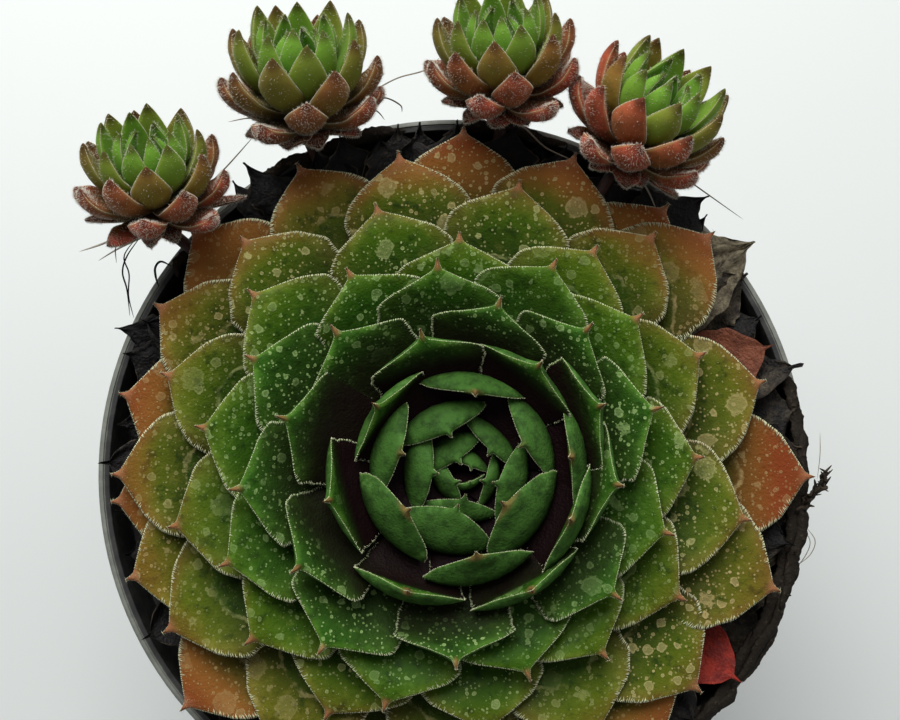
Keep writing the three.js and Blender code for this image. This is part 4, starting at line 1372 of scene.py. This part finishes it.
def soil_finish():
    finish = Finish("soil")
    clods = finish.grain(2.2, detail=6, roughness=0.7)
    crumbs, luck = finish.cells(1.1)
    tint = finish.ramp(clods, (0.3, 16, 12, 10), (0.55, 38, 28, 21), (0.8, 74, 56, 40))
    straw = luck.rise(0.9, 0.95) * crumbs.rise(0.5, 0.2) * 0.8
    return finish.set(
        Base_Color=finish.mix(straw, tint, srgb(120, 96, 68)),
        Roughness=0.95,
        Normal=finish.bump(clods * 0.6 + crumbs * 0.4, 1.2, 1.0),
    )


def crumb_finish():
    finish = Finish("soil_crumbs")
    kind = finish.attribute("growth")[0]
    rough = finish.grain(0.5)
    tint = finish.ramp(
        kind, (0.0, 24, 18, 14), (0.6, 60, 44, 32), (0.9, 96, 76, 56), (0.95, 196, 192, 180),
    )
    return finish.set(
        Base_Color=finish.mix(rough * 0.4, tint, srgb(30, 24, 20)),
        Roughness=0.9,
        Normal=finish.bump(rough, 0.4),
    )


def soil_bed():
    """The soil's block with its lumpy top and the stem's hole."""
    bottom = SOIL_LOW.z / MM
    edge = soil_radius(SOIL_TOP)
    hole_floor = SOIL_TOP - STEM_HOLE_DEPTH
    profile = [(0, bottom), (soil_radius(bottom) - 0.6, bottom)]
    profile += [(soil_radius(bottom), bottom + 0.8)]
    profile += [(soil_radius(z) - 0.2, z) for z in (20, 40, 60, 74, SOIL_TOP - 3)]
    profile += [(edge - 1.2, SOIL_TOP - 1.0)]
    profile += [(r, SOIL_TOP - 0.8) for r in np.linspace(edge - 3, 8, 30)]
    profile += [(7.5, SOIL_TOP - 2), (STEM_HOLE_RADIUS, SOIL_TOP - 10)]
    profile += [(STEM_HOLE_RADIUS, hole_floor), (0, hole_floor)]
    bm = bmesh.new()
    lathe(bm, profile, 110)
    for v in bm.verts:
        if v.co.z > (SOIL_TOP - 2.5) * MM:
            lump = noise.fractal(v.co / (3.5 * MM), 0.8, 2.2, 4)
            v.co.z += 0.9 * MM * max(-1.2, min(0.85, lump))
    return finished_mesh(bm, "soil_bed")


def soil_crumbs():
    """Loose crumbs on the soil's top, each turned and stretched its own way."""
    rng = np.random.default_rng(CRUMB_SEED)
    count = SOIL_CRUMBS
    pebble = Template(bmesh.ops.create_icosphere, subdivisions=1, radius=1.0)
    r = np.sqrt(rng.uniform(9.5**2, (soil_radius(SOIL_TOP) - 2.2) ** 2, count))
    turn = rng.uniform(0, math.tau, count)
    size = rng.uniform(0.35, 1.15, count)
    at = np.stack([r * np.cos(turn), r * np.sin(turn), SOIL_TOP - 1.1 + 0.2 * size], axis=-1)
    stretch = rng.uniform(0.6, 1.3, (count, 1, 3)) * size[:, None, None]
    turns = rng.uniform(0, math.tau, count)
    cos, sin = np.cos(turns), np.sin(turns)
    zero, one = np.zeros(count), np.ones(count)
    spin = np.array([[cos, -sin, zero], [sin, cos, zero], [zero, zero, one]]).transpose(2, 0, 1)
    corners = np.einsum("kij,kvj->kvi", spin, pebble.corners[None] * stretch) + at[:, None]
    return pebble.mesh("soil_crumbs", corners, one_number(rng.uniform(0, 1, count)))


def build_soil(context):
    add_piece(soil_bed(), soil_finish(), "soil", "soil")
    add_piece(soil_crumbs(), crumb_finish(), "soil")


# ---- stage ----


def build_stage(context):
    scene, stage = context.scene, context.scene.plant_stage
    bm = bmesh.new()
    bmesh.ops.create_grid(bm, x_segments=2, y_segments=2, size=3.0)
    mesh = bpy.data.meshes.new("floor")
    bm.to_mesh(mesh)
    bm.free()
    finish = Finish("floor")
    tint = finish.mix(
        finish.grain(60, detail=2), stage.floor, tuple(0.985 * c for c in stage.floor),
    )
    mesh.materials.append(finish.set(Base_Color=tint, Roughness=0.9, Specular_IOR_Level=0.1))
    new_object("floor", mesh)

    data = bpy.data.cameras.new("camera")
    data.lens = stage.lens
    data.sensor_width = 36
    data.clip_start = 0.01
    camera = new_object("camera", data)
    camera.location = (TO_RIM + CAMERA_AT) * MM
    camera.rotation_euler = (math.radians(CAMERA_TILT), 0, 0)
    scene.camera = camera

    world = bpy.data.worlds.new("studio")
    world.use_nodes = True
    sky = world.node_tree.nodes["Background"].inputs
    sky["Color"].default_value = (0.95, 0.98, 1.0, 1.0)
    sky["Strength"].default_value = stage.world_light
    scene.world = world
    for name, at, size, power in (
        ("window", (-0.10, 0.41, 0.53), 0.45, stage.window_light),
        ("fill", (0.8, 0.35, 0.9), 1.0, stage.fill_light),
    ):
        lamp = bpy.data.lights.new(name, "AREA")
        lamp.shape = "SQUARE"
        lamp.size = size
        lamp.energy = power
        light = new_object(name, lamp)
        light.location = at
        to_plant = Vector((0, 0, 0.1)) - Vector(at)
        light.rotation_euler = to_plant.to_track_quat("-Z", "Y").to_euler()
    scene.view_settings.view_transform = "Standard"


# ---- sizes and colours that a user would change ----


def colour_property(name, description, *screen):
    """A colour whose default is given as the red, green and blue of the screen."""
    return FloatVectorProperty(
        name=name, description=description, subtype="COLOR", size=3, min=0, max=1,
        default=srgb(*screen),
    )


def length_property(name, description, default, low, high):
    """A length in millimetres, kept in metres."""
    return FloatProperty(
        name=name, description=description, unit="LENGTH", subtype="DISTANCE", precision=5,
        default=default * MM, min=low * MM, max=high * MM,
    )


def power_property(name, description, default):
    """A lamp's power in watts."""
    return FloatProperty(
        name=name, description=description, subtype="POWER", default=default, min=0, max=200,
    )


class PlantColours(bpy.types.PropertyGroup):
    deep_green: colour_property("Deep green", "Shaded green of the large leaves", 24, 52, 8)
    rust_orange: colour_property("Orange", "Old leaves that fade to orange", 146, 92, 40)
    rust_red: colour_property("Red", "Old leaves that turn red", 136, 48, 26)
    # painted shade: the near black, dark maroon heart of the large rosette
    heart_shade: colour_property("Heart", "Dark roots of the inner leaves", 20, 5, 10)
    leaf_point: colour_property("Leaf point", "The sharp point of a leaf", 158, 104, 72)
    chick_red: colour_property("Young red", "Red of the young rosettes", 188, 84, 64)
    chick_brown: colour_property("Young brown", "Brown of the young rosettes", 140, 66, 42)
    chick_point: colour_property("Young point", "Points of the young leaves", 60, 28, 22)
    dry_pale: colour_property("Dry leaf", "Papery patches of the dry leaves", 120, 108, 84)
    pot: colour_property("Pot", "The pot's plastic", 40, 42, 42)


class PotSizes(bpy.types.PropertyGroup):
    wall: length_property("Wall", "Thickness of the pot's wall", 1.4, 0.6, 3.0)


class HenSizes(bpy.types.PropertyGroup):
    cilia_length: length_property("Cilia", "Length of the hairs on the rims", 0.85, 0.1, 2.0)
    cilia_spacing: length_property("Cilia spacing", "From hair to hair on a rim", 0.3, 0.1, 2.0)


class ChickSizes(bpy.types.PropertyGroup):
    cilia_length: length_property("Cilia", "Length of the hairs on the rims", 0.75, 0.1, 2.0)
    cilia_spacing: length_property("Cilia spacing", "From hair to hair on a rim", 0.25, 0.1, 2.0)


class PlantStage(bpy.types.PropertyGroup):
    floor: colour_property("Floor", "The floor's paint", 238, 242, 239)
    lens: FloatProperty(name="Lens", description="Focal length in millimetres", default=44, min=20,
                        max=200)
    world_light: FloatProperty(name="Sky", description="Light from all round", default=0.2, min=0,
                               max=3)
    window_light: power_property("Window", "Power of the window, in watts", 4.45)
    fill_light: power_property("Fill", "Power of the fill lamp, in watts", 2)


# ---- operators ----


class HENS_OT_pot(bpy.types.Operator):
    """Build the pot"""

    bl_idname = "hens.pot"
    bl_label = "Pot"

    def execute(self, context):
        build_pot(context)
        return {"FINISHED"}


class HENS_OT_soil(bpy.types.Operator):
    """Build the soil and its crumbs"""

    bl_idname = "hens.soil"
    bl_label = "Soil"

    def execute(self, context):
        build_soil(context)
        return {"FINISHED"}


class HENS_OT_old_stem(bpy.types.Operator):
    """Build the old stem and the dry leaves on it"""

    bl_idname = "hens.old_stem"
    bl_label = "Old stem"

    def execute(self, context):
        build_old_stem(context)
        return {"FINISHED"}


class HENS_OT_hen(bpy.types.Operator):
    """Build the large rosette with its cilia"""

    bl_idname = "hens.hen"
    bl_label = "Large rosette"

    def execute(self, context):
        build_hen(context)
        return {"FINISHED"}


class HENS_OT_chicks(bpy.types.Operator):
    """Build the four young rosettes"""

    bl_idname = "hens.chicks"
    bl_label = "Young rosettes"

    def execute(self, context):
        build_chicks(context)
        return {"FINISHED"}


class HENS_OT_runners(bpy.types.Operator):
    """Build the runners of the young rosettes"""

    bl_idname = "hens.runners"
    bl_label = "Runners"

    def execute(self, context):
        build_runners(context)
        return {"FINISHED"}


class HENS_OT_stage(bpy.types.Operator):
    """Set up the floor, the lights and the camera"""

    bl_idname = "hens.stage"
    bl_label = "Stage"

    def execute(self, context):
        build_stage(context)
        return {"FINISHED"}


OPERATORS = (HENS_OT_stage, HENS_OT_pot, HENS_OT_soil, HENS_OT_old_stem, HENS_OT_hen,
             HENS_OT_runners, HENS_OT_chicks)
GROUPS = {
    "plant_colours": PlantColours,
    "pot_sizes": PotSizes,
    "hen_sizes": HenSizes,
    "chick_sizes": ChickSizes,
    "plant_stage": PlantStage,
}


class HENS_PT_panel(bpy.types.Panel):
    bl_idname = "HENS_PT_panel"
    bl_label = "Hens and Chicks"
    bl_space_type = "VIEW_3D"
    bl_region_type = "UI"
    bl_category = "Hens and Chicks"

    def draw(self, context):
        for key in GROUPS:
            group = getattr(context.scene, key)
            box = self.layout.box()
            for name in group.__annotations__:
                box.prop(group, name)
        for operator in OPERATORS:
            self.layout.operator(operator.bl_idname)


def register():
    for group in GROUPS.values():
        bpy.utils.register_class(group)
    for key, group in GROUPS.items():
        setattr(bpy.types.Scene, key, PointerProperty(type=group))
    for item in (*OPERATORS, HENS_PT_panel):
        bpy.utils.register_class(item)


def unregister():
    for item in (HENS_PT_panel, *reversed(OPERATORS)):
        bpy.utils.unregister_class(item)
    for key in GROUPS:
        delattr(bpy.types.Scene, key)
    for group in reversed(GROUPS.values()):
        bpy.utils.unregister_class(group)


def main():
    register()
    for operator in OPERATORS:
        family, name = operator.bl_idname.split(".")
        getattr(getattr(bpy.ops, family), name)()


if __name__ == "__main__":
    main()
